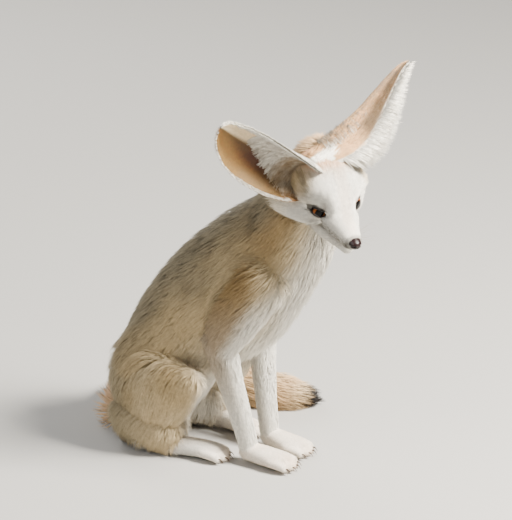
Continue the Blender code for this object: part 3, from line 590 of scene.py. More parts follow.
def face_colour(points):
    """White, with a peach crown, cream painted shade on the cheeks behind, grizzled fur at the ears'
    feet, dark rims to the eyes and mouth, russet tear marks and brows, and grey pads for the
    whiskers."""
    uneven = mottle(points, 0.02, 3)
    left, fore, up = seen_from_head(points).T
    aside = np.abs(left)
    face = np.tile(WHITE, (len(points), 1))
    crown = smooth(up - 0.35 * fore, 0.016, 0.034) * smooth(fore, 0.004, -0.016)
    face = laid(face, PEACH, crown * (0.9 + 0.3 * uneven))
    face = laid(face, PEACH, 0.2 * smooth(aside, 0.008, 0.002) * smooth(up, -0.008, 0.0))
    # Cream behind the eyes and below the crown is painted shade on the white cheeks.
    face = laid(face, CREAM, 0.8 * smooth(fore, -0.004, -0.020) * smooth(up, 0.022, 0.008))
    for foot in EAR_FEET:
        patch = smooth(np.linalg.norm(points - on_head(foot), axis=1), 0.018, 0.007)
        streaks = smooth(mottle(points * (1, 1, 0.4), 0.004, 4), -0.2, 0.6)
        face = laid(laid(face, SAND, 0.75 * patch), GRIZZLE, 0.55 * patch * streaks)
    for side, mirror in SIDES.items():
        tear = [(mirror * 0.0094, 0.0061, -0.0060), (mirror * 0.0088, 0.0110, -0.0085)]
        tear = on_head(curved([*tear, (mirror * 0.0085, 0.0210, -0.0130)], 6))
        brow = np.linalg.norm(points - on_head((mirror * 0.0115, 0.0065, 0.0020)), axis=1)
        lips = away_from(points, mouth_line(mirror))
        face = laid(face, RUSSET, 0.8 * smooth(away_from(points, tear), 0.0036, 0.0008))
        face = laid(face, BLACKISH, 0.9 * smooth(away_from(points, tear[:5]), 0.0017, 0.0008))
        face = laid(face, RUSSET, 0.6 * smooth(brow, 0.0055, 0.0020))
        face = laid(face, BLACKISH, 0.8 * smooth(lips, 0.0018, 0.0007))
        face = laid(face, BLACKISH, 0.9 * smooth(around_eye(points, side), 1.36, 1.16))
    pads = smooth(fore, -0.002, 0.012) * smooth(aside, 0.003, 0.006) * smooth(up, -0.005, -0.012)
    dots = smooth(mottle(points * (1, 1, 2.2), 0.0034, 8), -0.2, 0.4)
    face = laid(face, GRIZZLE, pads * (0.35 + 0.55 * dots) * smooth(up, -0.0235, -0.0200))
    return laid(face, BLACKISH, 0.6 * smooth(fore, 0.0345, 0.0375) * smooth(up, -0.0165, -0.014))


def markings(points, main):
    """The colour of the hair's tips at each point, by the form that it grows on."""
    names = np.array([s[0] for s in SPINES])[main]
    side = np.array([s[1] for s in SPINES])[main]
    colour = trunk_colour(points, np.tile(WHITE, (len(points), 1)), names)
    colour = leg_colour(points, colour, names, side)
    nape = smooth(seen_from_head(points)[:, 2] + 0.01 * mottle(points, 0.012, 2), -0.030, -0.004)
    nape *= names == "crown"
    colour = laid(colour, CREAM, 0.8 * nape)
    colour = laid(colour, PEACH, nape * (0.5 + 0.3 * mottle(points, 0.02, 6)))
    tail, head = names == "tail", np.isin(names, ("skull", "cheek", "whisker_pad", "jaw"))
    colour[tail] = tail_colour(points[tail])
    colour[head] = face_colour(points[head])
    return colour


def coloured(mesh, colours):
    """Keeps a colour for each point of the mesh, for its material to read."""
    kept = mesh.attributes.new("coat", "FLOAT_COLOR", "POINT")
    kept.data.foreach_set("color", np.hstack([colours, np.ones((len(colours), 1))]).ravel())


def one_colour(mesh, colour):
    coloured(mesh, np.tile(colour, (len(mesh.vertices), 1)))


def tuned(material, settings):
    """Sets the sockets of a material's shader by their names."""
    for socket, value in settings.items():
        material.node_tree.nodes["Principled BSDF"].inputs[socket].default_value = value


def hide(name, roughness, grain, depth, sheen=0.0):
    """A material that takes its colour from the mesh, made uneven by a fine grain with a bump."""
    made = bpy.data.materials.new(name)
    made.use_nodes = True
    nodes, links = made.node_tree.nodes, made.node_tree.links
    shader = nodes["Principled BSDF"]
    tuned(made, {"Roughness": roughness, "Specular IOR Level": 0.25})
    tuned(made, {"Sheen Weight": sheen, "Sheen Roughness": 0.5})
    spot = nodes.new("ShaderNodeTexCoord")
    colour = nodes.new("ShaderNodeAttribute")
    colour.attribute_name = "coat"
    noise = nodes.new("ShaderNodeTexNoise")
    noise.inputs["Scale"].default_value = grain
    noise.inputs["Detail"].default_value = 3
    shade = nodes.new("ShaderNodeMapRange")
    shade.inputs["From Min"].default_value, shade.inputs["From Max"].default_value = 0.3, 0.7
    shade.inputs["To Min"].default_value, shade.inputs["To Max"].default_value = 0.86, 1.10
    mix = nodes.new("ShaderNodeVectorMath")
    mix.operation = "SCALE"
    bump = nodes.new("ShaderNodeBump")
    bump.inputs["Strength"].default_value = 0.5
    bump.inputs["Distance"].default_value = depth
    links.new(spot.outputs["Object"], noise.inputs["Vector"])
    links.new(noise.outputs["Fac"], shade.inputs["Value"])
    links.new(colour.outputs["Color"], mix.inputs[0])
    links.new(shade.outputs["Result"], mix.inputs["Scale"])
    links.new(mix.outputs["Vector"], shader.inputs["Base Color"])
    links.new(noise.outputs["Fac"], bump.inputs["Height"])
    links.new(bump.outputs["Normal"], shader.inputs["Normal"])
    return made


UNDERCOAT = hide("undercoat", 0.9, 900, 0.0006)
COAT = hide("coat", 0.6, 350, 0.0002, sheen=0.05)
coloured(skin.data, markings(skin_points, skin_survey["main"]) * 0.88)
skin.data.materials.append(UNDERCOAT)
skin.data.shade_smooth()
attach(skin, "root")
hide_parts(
    "torso", "neck", "head", "foreleg_left", "foreleg_right", "forepaw_left",
    "forepaw_right", "hindleg_left", "hindleg_right", "hindfoot_left", "hindfoot_right",
    "tail_base", "tail_middle", "tail_tip",
)

skin.data.calc_loop_triangles()
skin_triangles = np.zeros(len(skin.data.loop_triangles) * 3, np.int32)
skin.data.loop_triangles.foreach_get("vertices", skin_triangles)
skin_triangles = skin_triangles.reshape(-1, 3)


# The coat. Each tuft is a thin, three sided blade of hair, rooted in the skin, that rises out of
# it and bends back to the lie, and neighbours draw together into locks. All are made the same way,
# with more joints in the long ones: each row gives a joint's share of length, bend and width. A
# tuft's patch is its small place on the unwrapped skin.
JOINTS = {
    1: ((1.0, 1.0, 1.0),),
    2: ((0.5, 1.0, 1.0), (0.5, 0.22, 0.75)),
    3: ((0.4, 1.0, 1.0), (0.34, 0.5, 0.85), (0.26, 0.0, 0.6)),
}
FOOT_SHADE = 0.76
ROOTED, TUFT_OVER_FLOOR = 0.0005, 0.0009
PATCH_WIDE, PATCH_HIGH = 0.0013, 0.003


def drawn_together(line, roots, clump, apart, draw):
    """Leans each tuft over to the nearest of a few leaders, most at its tip."""
    leaders = draw.permutation(len(roots))[: max(1, len(roots) // apart)]
    tree = KDTree(len(leaders))
    for k, leader in enumerate(leaders):
        tree.insert(roots[leader], k)
    tree.balance()
    led = leaders[[tree.find(root)[1] for root in roots.tolist()]]
    shift = line[:, led] - line
    shift *= np.minimum(1, 0.008 / np.maximum(np.linalg.norm(shift, axis=2, keepdims=True), 1e-9))
    levels = len(line) - 1
    for level in range(1, levels + 1):
        line[level] += shift[level] * clump * (level / levels) ** 1.5


def blade_faces(levels):
    """The triangles of one closed blade, whose corners are numbered from its foot to its tip."""
    sides, tip = ((0, 1), (1, 2), (2, 0)), 3 * levels
    faces = [(0, 2, 1)]
    for k in range(0, tip - 3, 3):
        for a, b in sides:
            faces += [(k + a, k + b, k + b + 3), (k + a, k + b + 3, k + a + 3)]
    return np.array(faces + [(tip - 3 + a, tip - 3 + b, tip) for a, b in sides])


def blades(name, roots, out, lies, sizes, tips, places, levels=2, clump=0.35, apart=9, facing=True):
    """One mesh of tufts. sizes holds length, width and rise, places the root's own spot on the
    unwrapped skin, and facing shades all tufts as the surface under them."""
    count, draw = len(roots), np.random.default_rng(len(roots))
    length, width, rise = sizes
    across = unit(np.cross(out, lies))
    lies = unit(lies + across * draw.normal(0, 0.14, count)[:, None])
    across = unit(np.cross(out, lies))
    line = [roots - out * ROOTED]
    for share, bend, _ in JOINTS[levels]:
        angle = (rise * bend)[:, None]
        way = lies * np.cos(angle) + out * np.sin(angle)
        line.append(line[-1] + way * (length * share)[:, None])
    line = np.array(line)
    drawn_together(line, roots, clump, apart, draw)
    line[:, :, 2] = np.maximum(line[:, :, 2], TUFT_OVER_FLOOR)
    points, shading, colours, patch = [], [], [], []
    foot = tips * FOOT_SHADE
    for level, (_, _, taper) in enumerate(JOINTS[levels]):
        at, half = line[level], across * (width * taper / 2)[:, None]
        points += [at - half, at + half, at + out * (width * taper * 0.42)[:, None]]
        shading += [unit(0.8 * out - 0.45 * across), unit(0.8 * out + 0.45 * across), out]
        colours += [foot + (tips - foot) * min(1, 1.3 * level / levels)] * 3
        patch += [places + (x * PATCH_WIDE, level / levels * PATCH_HIGH) for x in (-1, 1, 0)]
    points.append(line[levels])
    shading.append(unit(out + 0.5 * lies))
    colours.append(tips)
    patch.append(places + (0, PATCH_HIGH))
    stride = 3 * levels + 1
    corners = (blade_faces(levels)[None] + np.arange(count)[:, None, None] * stride).reshape(-1)
    mesh = bpy.data.meshes.new(name)
    mesh.vertices.add(count * stride)
    mesh.vertices.foreach_set("co", np.stack(points, 1).astype(np.float32).ravel())
    mesh.loops.add(len(corners))
    mesh.loops.foreach_set("vertex_index", corners.astype(np.int32))
    mesh.polygons.add(len(corners) // 3)
    mesh.polygons.foreach_set("loop_start", np.arange(0, len(corners), 3, dtype=np.int32))
    mesh.update(calc_edges=True)
    mesh.shade_smooth()
    coloured(mesh, np.clip(np.stack(colours, 1).reshape(-1, 3), 0, 1))
    unwrapped = mesh.uv_layers.new(name="OFBake")
    patch = np.stack(patch, 1).reshape(-1, 2)
    unwrapped.data.foreach_set("uv", patch[corners].astype(np.float32).ravel())
    if facing:
        mesh.normals_split_custom_set_from_vertices(np.stack(shading, 1).reshape(-1, 3))
    made = bpy.data.objects.new(name, mesh)
    bpy.context.scene.collection.objects.link(made)
    mesh.materials.append(COAT)
    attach(made, "root")
    return made


def thickness(levels):
    """How high a tuft stands over the skin, for each unit of length and of rise."""
    return sum(share * bend for share, bend, _ in JOINTS[levels])


def scattered(growing, count, draw):
    """Corners and shares of them for spots all over a part of the skin, closer in short fur."""
    corners = skin_triangles[growing[skin_triangles].all(1)]
    a, b, c = (skin_points[corners[:, k]] for k in range(3))
    area = np.linalg.norm(np.cross(b - a, c - a), axis=1)
    weight = area / (skin_survey["hair"][corners].mean(1) + 0.002) ** 0.8
    corners = corners[draw.choice(len(corners), count, p=weight / weight.sum())]
    u, v = draw.random((2, count))
    flip = u + v > 1
    u[flip], v[flip] = 1 - u[flip], 1 - v[flip]
    return corners, np.stack([1 - u - v, u, v], 1)


def grow_coat(name, slot, growing, count, fluff=0.0, levels=2, **ways):
    """Tufts all over the part of the skin that is marked as growing this coat."""
    draw = np.random.default_rng(len(name) + count)
    corners, shares = scattered(growing, count, draw)
    roots = (skin_points[corners] * shares[:, :, None]).sum(1)
    eyes = np.minimum(around_eye(roots, "left"), around_eye(roots, "right"))
    open_skin = eyes > 1.2
    corners, shares, roots, eyes = (part[open_skin] for part in (corners, shares, roots, eyes))
    count = len(roots)
    out = unit((skin_normals[corners] * shares[:, :, None]).sum(1))
    lies = (skin_survey["lie"][corners] * shares[:, :, None]).sum(1) + 0.001
    # Hair lies along the skin, but on the very end of a form it runs on outward.
    outward = (unit(lies) * out).sum(1)
    lies = unit(unit(lies) - out * (outward * (1 - 0.5 * smooth(outward, 0.7, 0.95)))[:, None])
    hair, coat = ((skin_survey[key][corners] * shares).sum(1) for key in ("hair", "coat"))
    main, turn, along = (skin_survey[key][corners[:, 0]] for key in ("main", "turn", "share"))
    back, run = dorsal(roots, TORSO, on_body, BODY_SIDE)
    bib = (skin_names[corners[:, 0]] == "torso") * smooth(back, 0.1, -0.6) * smooth(run, 0.3, 0.45)
    length = hair * draw.uniform(0.75, 1.2, count) * (1 + 0.35 * bib)
    length *= 0.45 + 0.55 * smooth(eyes, 1.2, 2.4)
    rise = (coat + 0.004 * bib + fluff) / thickness(levels) / length
    rise = np.clip(rise, 0.12, 0.95) * draw.uniform(0.75, 1.1, count)
    width = (0.00030 + 0.024 * length) * draw.uniform(0.7, 1.2, count)
    tips = markings(roots, main) * draw.uniform(0.90, 1.07, (count, 1))
    dark = draw.random(count) < 0.10 * smooth(back, -0.1, 0.6) * (hair > 0.014)
    tips[dark] *= 0.55
    places = np.stack([main % 7, main // 7], 1) + 0.02
    places = (places + np.stack([0.95 * (turn / 2 / math.pi + 0.5), 0.94 * along], 1)) / 7
    sizes = length, width, rise
    blades(name, roots, out, lies, sizes, tips, places, levels=levels, **ways)


skin_back = dorsal(skin_points, TORSO, on_body, BODY_SIDE)[0]
skin_names = np.array([s[0] for s in SPINES])[skin_survey["main"]]
skin_fore = seen_from_head(skin_points)[:, 1]
skin_side = skin_points[:, 0] - ORIGIN[0]
trunk = np.isin(skin_names, ("torso", "hip"))
head = np.isin(skin_names, ("skull", "cheek", "whisker_pad", "jaw"))
behind = (head & (skin_fore < -0.008)) | (skin_names == "crown")
grow_coat("back_coat", "sandy_coat", trunk & (skin_back > -0.05), 18500)
grow_coat("chest_coat", "white_coat", trunk & (skin_back < 0.1), 17000)
for side, mirror in SIDES.items():
    rear = np.isin(skin_names, ("thigh", "shank", "seat")) & (skin_side * mirror > 0)
    grow_coat(f"haunch_{side}_coat", "sandy_coat", rear, 9500)
grow_coat("foreleg_coat", "white_coat", np.isin(skin_names, ("upper_arm", "forearm")), 15500)
paws = np.isin(skin_names, ("forepaw", "hindfoot", "toe"))
grow_coat("paw_coat", "white_coat", paws, 22000, levels=1, clump=0.1)
grow_coat("face_coat", "white_coat", head & (skin_fore > -0.010), 46000, levels=1, clump=0.1)
grow_coat("crown_coat", "white_coat", behind, 15000, clump=0.25)
grow_coat("tail_coat", "sandy_coat", skin_names == "tail", 9500, fluff=0.009, levels=3, clump=0.3)

# The ears. Each is a thin cup of skin with short down on its back, long white hairs along its
# inner edge and thin down within. It is made as a folded leaf, from its foot to its tip.
EAR_LENGTH, EAR_WALL = 0.092, 0.0014
EARS = {
    "left": {
        "foot": (0.012, -0.037, 0.029),
        "axis": (0.75, -0.31, 0.44),
        "faces": (0.565, 0.66, -0.50),
        "bow": (0.10, 0.24),
    },
    "right": {
        "foot": (-0.030, -0.0245, 0.014),
        "axis": (-0.69, -0.20, 0.54),
        "faces": (-0.1, 1, 0.3),
        "bow": (0.26, 0.0),
    },
}
EAR_SHAPE = np.array(
    (
        (-0.32, 0.0180, 0.0180, 110),
        (-0.16, 0.0270, 0.0260, 106),
        (0.00, 0.0340, 0.0320, 98),
        (0.16, 0.0330, 0.0310, 86),
        (0.34, 0.0295, 0.0290, 72),
        (0.52, 0.0250, 0.0265, 58),
        (0.70, 0.0190, 0.0225, 48),
        (0.84, 0.0130, 0.0165, 40),
        (0.94, 0.0075, 0.0100, 35),
        (1.00, 0.0012, 0.0018, 30),
    )
)
# The colours within the ears are darkened with painted shade, and the darkest, reddest one is
# painted shade and a painted orange glow of light through the ear, laid in the fold of the cup.
EAR_BARE_SHADED = linear(102, 80, 46)
EAR_FOLD_SHADE = linear(84, 42, 22)
EAR_PALE_SHADED = linear(124, 102, 66)
EAR_BACK = linear(190, 162, 126)
EAR_GREY = linear(84, 72, 58)
HAIR_GREY = linear(176, 166, 152)


def ear_sheet(side, share, across):
    """Points of an ear's middle sheet, from 0 at its inner edge to 1 at its outer one, with the
    way into the cup, the way over to the inner edge and the axis."""
    pose = EARS[side]
    axis = unit(head_way(*pose["axis"]))
    facing = head_way(*pose["faces"])
    facing = unit(facing - axis * (facing @ axis))
    outward = np.cross(axis, facing) * SIDES[side]
    inner, outer, angle = (np.interp(share, EAR_SHAPE[:, 0], EAR_SHAPE[:, k]) for k in (1, 2, 3))
    radius = (inner + outer) / 2 / np.radians(angle)
    turn = ((inner + outer) * across - inner) / radius
    bows = [b * EAR_LENGTH * (share - share**2) for b in pose["bow"]]
    out = outward * (radius * np.sin(turn) + bows[0])[:, None]
    cup = facing * (radius * (0.6 - np.cos(turn)) + bows[1])[:, None]
    inwards = facing * np.cos(turn)[:, None] - outward * np.sin(turn)[:, None]
    over = -(outward * np.cos(turn)[:, None] + facing * np.sin(turn)[:, None])
    spots = on_head(pose["foot"]) + axis * (share * EAR_LENGTH)[:, None] + out + cup
    return spots, inwards, over, axis


def within_colour(share, across, points):
    """Bare tan skin in painted shade, with painted shade and a painted glow of light through the ear
    deepest in the fold, and paler to the outer edge.
    """
    tone = laid(np.tile(EAR_BARE_SHADED, (len(share), 1)), EAR_PALE_SHADED, smooth(across, 0.72, 0.98))
    # Painted shade and glow, deepest in the fold of the cup.
    deep = smooth(across, 0.80, 0.52) * smooth(share, 0.80, 0.30)
    tone = laid(tone, EAR_FOLD_SHADE, 0.9 * deep + 0.1 * mottle(points, 0.012, 5))
    return laid(tone, CREAM, 0.85 * smooth(across, 0.40, 0.28))


def outside_colour(share, across, points):
    """Peach and beige, with a white inner edge, broader on the right ear, a dark strip beside it
    and grey ticks."""
    tone = laid(np.tile(EAR_BACK, (len(share), 1)), PEACH, 0.3 + 0.3 * mottle(points, 0.014, 5))
    ticks = smooth(mottle(points, 0.0028, 7), 0.2, 0.7) * smooth(across, 0.5, 0.8)
    tone = laid(tone, EAR_GREY, 0.6 * ticks * smooth(share, 0.9, 0.5))
    across = across - np.where(seen_from_head(points)[:, 0] > 0, 0, 0.25)
    strip = smooth(across, 0.36, 0.20) * smooth(share, 0.05, 0.25)
    tone = laid(tone, EAR_GREY, 0.85 * strip)
    return laid(tone, WHITE, smooth(across, 0.08, 0.04))


def strand_colour(share, across, points):
    """White and grey strands, with a brown patch at the foot of the ear."""
    grey = 0.35 + 0.5 * mottle(points, 0.005, 6)
    tone = laid(np.tile(WHITE, (len(share), 1)), HAIR_GREY, grey)
    return laid(tone, TAN, 0.7 * smooth(share, 0.26, 0.10) * smooth(across, 0.06, 0.14))


def white(share, across, points):
    return np.tile(WHITE, (len(share), 1))


# Each layer of hair on an ear: how many tufts, whether they grow in the cup, the least and most
# share, the least and most across and how that narrows to the tip, how they lean over to the inner
# edge and along the axis, their length at the foot and at the tip, their rise, their colour and
# how they are built. The fringe on the outer side of the inner edge is longest on the left ear.
EAR_HAIR = {
    "back_coat": (9500, False, (-0.30, 0.99), (0.0, 1.0, 0), (0.15, 1.0), (0.0080, 0.0032), 0.20,
                  outside_colour, {"levels": 1, "clump": 0.15, "facing": False}),
    "down": (4200, True, (-0.05, 0.97), (0.35, 1.0, 0), (-0.1, 1.0), (0.0036, 0.0022), 0.20,
             within_colour, {"levels": 1, "clump": 0.1}),
    "edge_down": (1500, True, (-0.05, 0.99), (0.93, 1.0, 0), (-0.35, 1.0), (0.0045, 0.0028),
                  0.12, white, {"levels": 1, "clump": 0.2, "facing": False}),
    "strands": (3000, True, (-0.15, 0.60), (0.05, 0.72, 1.3), (-1.0, 0.15), (0.0170, 0.0060),
                0.34, strand_colour, {"levels": 3, "clump": 0.45, "facing": False}),
    "inner_rim": (1700, True, (-0.10, 0.99), (0.0, 0.12, 0), (0.30, 1.0), (0.0085, 0.0042),
                  0.22, white, {"clump": 0.2, "facing": False}),
}
FRINGE = {"left": ((1.0, 0.45), (0.0190, 0.0085)), "right": ((0.5, 0.9), (0.0080, 0.0045))}


def ear_tufts(name, side, count, inside, shares, acrosses, lean, length, rise, tone, ways):
    """One layer of hair on an ear."""
    draw = np.random.default_rng(count)
    share = draw.uniform(*shares, count * 3)
    wide = np.interp(share, EAR_SHAPE[:, 0], EAR_SHAPE[:, 1]) / 0.034
    share = share[draw.random(count * 3) < wide][:count]
    count = len(share)
    across = draw.uniform(*acrosses[:2], count) * (1 - acrosses[2] * np.clip(share, 0, 0.7))
    spots, inwards, over, axis = ear_sheet(side, share, across)
    out = inwards if inside else -inwards
    lies = unit(over * lean[0] + axis * lean[1])
    size = np.interp(share, (0, 1), length) * draw.uniform(0.75, 1.2, count)
    width = (0.0003 + 0.028 * size) * draw.uniform(0.7, 1.2, count)
    tips = np.clip(tone(share, across, spots) * draw.uniform(0.9, 1.07, (count, 1)), 0, 1)
    places = np.stack([0.02 + 0.94 * across, 0.02 + 0.70 * (share + 0.32)], 1)
    sizes = size, width, rise * draw.uniform(0.7, 1.2, count)
    roots = spots + out * EAR_WALL * 0.4
    blades(name, roots, out, lies, sizes, tips, places, **ways)


EAR_SKIN = hide("ear_skin", 0.55, 500, 0.0002)
tuned(EAR_SKIN, {"Subsurface Weight": 0.15, "Subsurface Scale": 1.0})
tuned(EAR_SKIN, {"Subsurface Radius": (0.004, 0.0015, 0.0008)})
ROWS, COLUMNS = 56, 57
for side in SIDES:
    share = np.repeat(np.linspace(-0.3, 1.0, ROWS), COLUMNS)
    across = np.tile(np.linspace(0, 1, COLUMNS), ROWS)
    spots, inwards, over, axis = ear_sheet(side, share, across)
    thin = np.minimum(np.minimum(across, 1 - across) * 12, (1 - share) * 20)
    wall = (EAR_WALL / 2 * np.clip(thin, 0.25, 1))[:, None]
    front = np.arange(ROWS * COLUMNS).reshape(ROWS, COLUMNS)
    back = front + ROWS * COLUMNS
    quads = [np.stack([front[:-1, :-1], front[:-1, 1:], front[1:, 1:], front[1:, :-1]], -1)]
    quads.append(np.stack([back[:-1, :-1], back[1:, :-1], back[1:, 1:], back[:-1, 1:]], -1))
    for k in (0, -1):
        quads.append(np.stack([front[:-1, k], front[1:, k], back[1:, k], back[:-1, k]], -1))
        quads.append(np.stack([front[k, :-1], front[k, 1:], back[k, 1:], back[k, :-1]], -1))
    faces = np.concatenate([sheet.reshape(-1, 4) for sheet in quads])
    sheets = np.concatenate([spots + inwards * wall, spots - inwards * wall])
    ear = meshed(f"ear_{side}_skin", [(sheets, faces)])
    outwards(ear)
    # The inner sheet carries the painted shade and glow of within_colour.
    tones = [tone(share, across, spots) for tone in (within_colour, outside_colour)]
    coloured(ear.data, np.clip(np.concatenate(tones), 0, 1))
    ear.data.materials.append(EAR_SKIN)
    ear.data.shade_smooth()
    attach(ear, "root")
    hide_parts(f"ear_{side}")
    for layer, ways in EAR_HAIR.items():
        ear_tufts(f"ear_{side}_{layer}", side, *ways)
    lean, length = FRINGE[side]
    ways = (0.0, 0.08, 0), lean, length, 0.22, white, {"clump": 0.3, "facing": False}
    ear_tufts(f"ear_{side}_outer_rim", side, 2600, False, (-0.10, 0.99), *ways)

# The eyes. Each is a glossy ball with an amber iris and a wide pupil, held between dark lids
# that follow the outline of the open eye and lie on the ball.
IRIS, EYE_EDGE, PUPIL = linear(146, 96, 58), linear(40, 24, 16), linear(10, 8, 7)
LID_RIM = linear(40, 30, 26)
# The rings of a lid from its edge out: how far from the opening, and from the middle of the eye.
LID_RINGS = (
    (-0.0002, 0.00755), (0.0002, 0.0079), (0.0006, 0.0082), (0.0011, 0.0081), (0.0017, 0.0073),
)
for side, mirror in SIDES.items():
    ahead, across, over = gaze(side)
    centre = eye_centre(mirror)
    ways = np.stack([across, np.cross(ahead, across), ahead])
    ball = meshed(f"eye_{side}_ball", [globe(centre, EYE_RADIUS, ways, 80, 64)])
    outwards(ball)
    x, y, z = ways @ (read(ball.data, "co") - centre).T
    angle = np.degrees(np.arctan2(np.hypot(x, y), z))
    streaks = 0.9 + 0.2 * np.sin(np.arctan2(y, x) * 24)
    colours = laid(np.tile(EYE_EDGE, (len(x), 1)), IRIS * streaks[:, None], smooth(angle, 50, 44))
    coloured(ball.data, np.clip(laid(colours, PUPIL, smooth(angle, 33, 28)), 0, 1))
    wet = hide(f"eye_{side}", 0.05, 900, 0.0)
    tuned(wet, {"Specular IOR Level": 0.1})
    ball.data.materials.append(wet)
    ball.data.shade_smooth()
    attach(ball, "root")
    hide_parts(f"eye_{side}")
    rings = []
    for grow_by, radius in LID_RINGS:
        x, y = almond(side, 64, grow_by)
        flat = across * x[:, None] + over * y[:, None]
        depth = np.sqrt(np.maximum(radius**2 - (flat**2).sum(1), 1e-7))
        rings.append(centre + flat + ahead * depth[:, None])
    k = np.arange(64 * (len(rings) - 1)).reshape(-1, 64)
    faces = np.stack([k, np.roll(k, -1, 1), np.roll(k, -1, 1) + 64, k + 64], -1).reshape(-1, 4)
    lids = meshed(f"lids_{side}", [(np.concatenate(rings), faces)])
    one_colour(lids.data, LID_RIM)
    applied(lids, "SOLIDIFY", thickness=0.0004, offset=0)
    outwards(lids)
    lids.data.materials.append(hide(f"lids_{side}", 0.45, 1500, 0.0002))
    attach(lids, "root")

# The nose. It is a bare, moist black pad with a nostril on each side and a groove between.
NOSE = (
    (0.000, 0.0360, -0.0088, 0.0060, 0.0046, 0, 0),
    (0.000, 0.0400, -0.0090, 0.0054, 0.0042, 0, 0),
)
NOSTRIL = (0.0026, 0.0437, -0.0082), (0.0036, 0.0426, -0.0088), (0.0048, 0.0405, -0.0100)
nose = meshed("nose_pad", [form(*spine(NOSE, on_head, HEAD_SIDE, 1), around=48)])
applied(nose, "REMESH", mode="VOXEL", voxel_size=0.0003)
applied(nose, "SMOOTH", factor=0.5, iterations=4)
spots, out = read(nose.data, "co"), read(nose.data, "normal")
for mirror in BOTH:
    slit = on_head(curved([(mirror * row[0], *row[1:]) for row in NOSTRIL], 6))
    spots -= out * (0.0014 * (1 - smooth(away_from(spots, slit), 0.0004, 0.0013)))[:, None]
local = seen_from_head(spots)
groove = (1 - smooth(np.abs(local[:, 0]), 0.0001, 0.0006)) * smooth(local[:, 2], -0.0075, -0.010)
spots -= out * (0.0006 * groove)[:, None]
moved(nose.data, spots)
one_colour(nose.data, linear(48, 28, 28))
pebbled = hide("nose_skin", 0.32, 1800, 0.0003)
tuned(pebbled, {"Coat Weight": 0.3})
nose.data.materials.append(pebbled)
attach(nose, "root")
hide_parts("nose")

# The whiskers and the claws: thin, tapered, curved horn, the whiskers from the pads beside the
# nose and a claw at the end of each toe.
def taper(points, radius, around=6):
    """A thin pointed stem along a line of points."""
    ways = unit(np.gradient(points, axis=0))
    across = unit(np.cross(ways, (0.31, 0.22, 0.93)))
    size = radius * np.linspace(1, 0.12, len(points))[:, None]
    return tube(points, across * size, np.cross(ways, across) * size, around)


draw = np.random.default_rng(4)
stems = []
for mirror in BOTH:
    for row in range(3):
        for k in range(3):
            root = (mirror * (0.0080 + 0.0006 * k), 0.0335 - 0.0032 * k, -0.0115 - 0.0016 * row)
            way = np.array((mirror * (0.75 + 0.1 * k), 0.10 - 0.28 * k, -0.02 - 0.16 * row))
            way += draw.normal(0, 0.06, 3)
            reach = np.linspace(0, 0.020 + 0.006 * k, 9)[:, None]
            line = root + way / np.linalg.norm(way) * reach + (0, -0.6, -2.2) * reach**2 * 4
            stems.append(taper(on_head(line), 0.00010))
whiskers = meshed("whiskers", stems)
one_colour(whiskers.data, linear(150, 140, 130))
whiskers.data.materials.append(hide("whisker_hair", 0.4, 600, 0.0))
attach(whiskers, "root")
CLAW = (0.0020, 0.0008), (0.0040, 0.0008), (0.0056, -0.0006), (0.0066, -0.0024)
horns = []
for paw, mirror in ((FOREPAW_LEFT, 1), (FOREPAW_RIGHT, -1), (HINDFOOT, 1), (HINDFOOT, -1)):
    for toe in toes(paw):
        left, ahead, up = toe[-1][:3]
        line = [(mirror * left, ahead + fore, up + over) for fore, over in CLAW]
        line = on_body(curved(line, 4))
        line[:, 2] = np.maximum(line[:, 2], 0.0008)
        horns.append(taper(line, 0.0007, 10))
claws = meshed("claws", horns)
one_colour(claws.data, linear(96, 80, 68))
claws.data.materials.append(hide("claw_horn", 0.35, 900, 0.0))
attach(claws, "root")

# The studio: a plain pale floor, soft lamps and the camera at the photograph's viewing angle. The
# camera is placed so that the middle of the seat falls on its own spot in the picture.
bpy.ops.mesh.primitive_circle_add(vertices=96, radius=8, fill_type="NGON", location=(0, 0, 0))
floor = bpy.context.object
floor.name = "floor"
pale = bpy.data.materials.new("floor")
pale.use_nodes = True
tuned(pale, {"Base Color": (0.42, 0.41, 0.39, 1), "Roughness": 0.8})
floor.data.materials.append(pale)

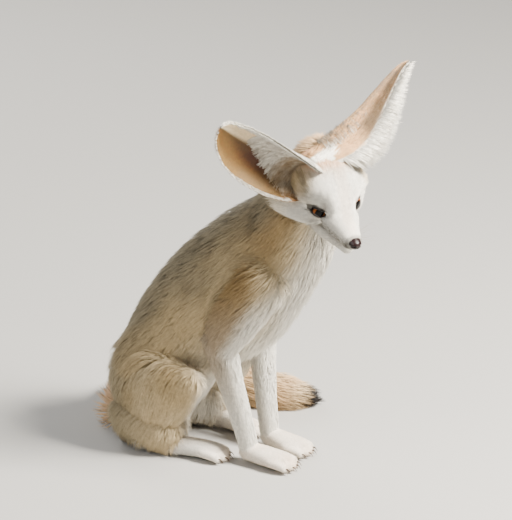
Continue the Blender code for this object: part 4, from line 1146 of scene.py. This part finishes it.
TURN, FALL = math.radians(30), math.radians(20)
WIDE, HIGH, PIXEL, LENS_AWAY, SENSOR = 512, 520, 0.00085, 3.2, 36
SEAT_POINT, SEAT_SPOT, SEAT_BEHIND = np.array([-0.021, -0.088, 0]), (270, 468), 0.0767
ahead = np.array([math.cos(TURN) * math.cos(FALL), math.sin(TURN) * math.cos(FALL), -math.sin(FALL)])
right = np.array([math.sin(TURN), -math.cos(TURN), 0])
above = np.cross(right, ahead)
centre = (
    right * (right @ SEAT_POINT + (WIDE / 2 - SEAT_SPOT[0]) * PIXEL)
    + above * (above @ SEAT_POINT + (SEAT_SPOT[1] - HIGH / 2) * PIXEL)
    - ahead * SEAT_BEHIND
    + ORIGIN
)


def lamp(name, way, distance, size, power, colour):
    """A square soft lamp that faces the middle of the fox."""
    data = bpy.data.lights.new(name, "AREA")
    data.size, data.energy, data.color = size, power, colour
    made = bpy.data.objects.new(name, data)
    middle, back = np.array([0, 0, 0.15]), unit(np.array(way, float))
    side = unit(np.cross((0, 0, 1), back))
    turn = Matrix(np.stack([side, np.cross(back, side), back], 1).tolist())
    made.matrix_world = Matrix.Translation((middle + back * distance).tolist()) @ turn.to_4x4()
    bpy.context.scene.collection.objects.link(made)


lamp("key", right * 1.0 - ahead * 0.5 + np.array([0, 0, 0.9]), 1.6, 0.45, 160, (1.0, 0.95, 0.86))
lamp("fill", -right * 0.9 - ahead * 1.0 + np.array([0, 0, 0.6]), 2.2, 1.6, 20, (1.0, 0.98, 0.94))
lamp("rim", ahead * 1.0 - right * 0.5 + np.array([0, 0, 0.9]), 1.8, 0.8, 22, (1.0, 0.97, 0.92))
world = bpy.data.worlds.new("studio")
world.use_nodes = True
world.node_tree.nodes["Background"].inputs["Color"].default_value = (0.85, 0.88, 0.92, 1)
world.node_tree.nodes["Background"].inputs["Strength"].default_value = 0.42
bpy.context.scene.world = world

camera_data = bpy.data.cameras.new("camera")
camera_data.sensor_width = SENSOR
camera_data.lens = SENSOR * LENS_AWAY / (HIGH * PIXEL)
camera = bpy.data.objects.new("camera", camera_data)
camera.matrix_world = Matrix.Translation((centre - ahead * LENS_AWAY).tolist()) @ Matrix(
    np.stack([right, above, -ahead], 1).tolist()
).to_4x4()
bpy.context.scene.collection.objects.link(camera)
bpy.context.scene.camera = camera
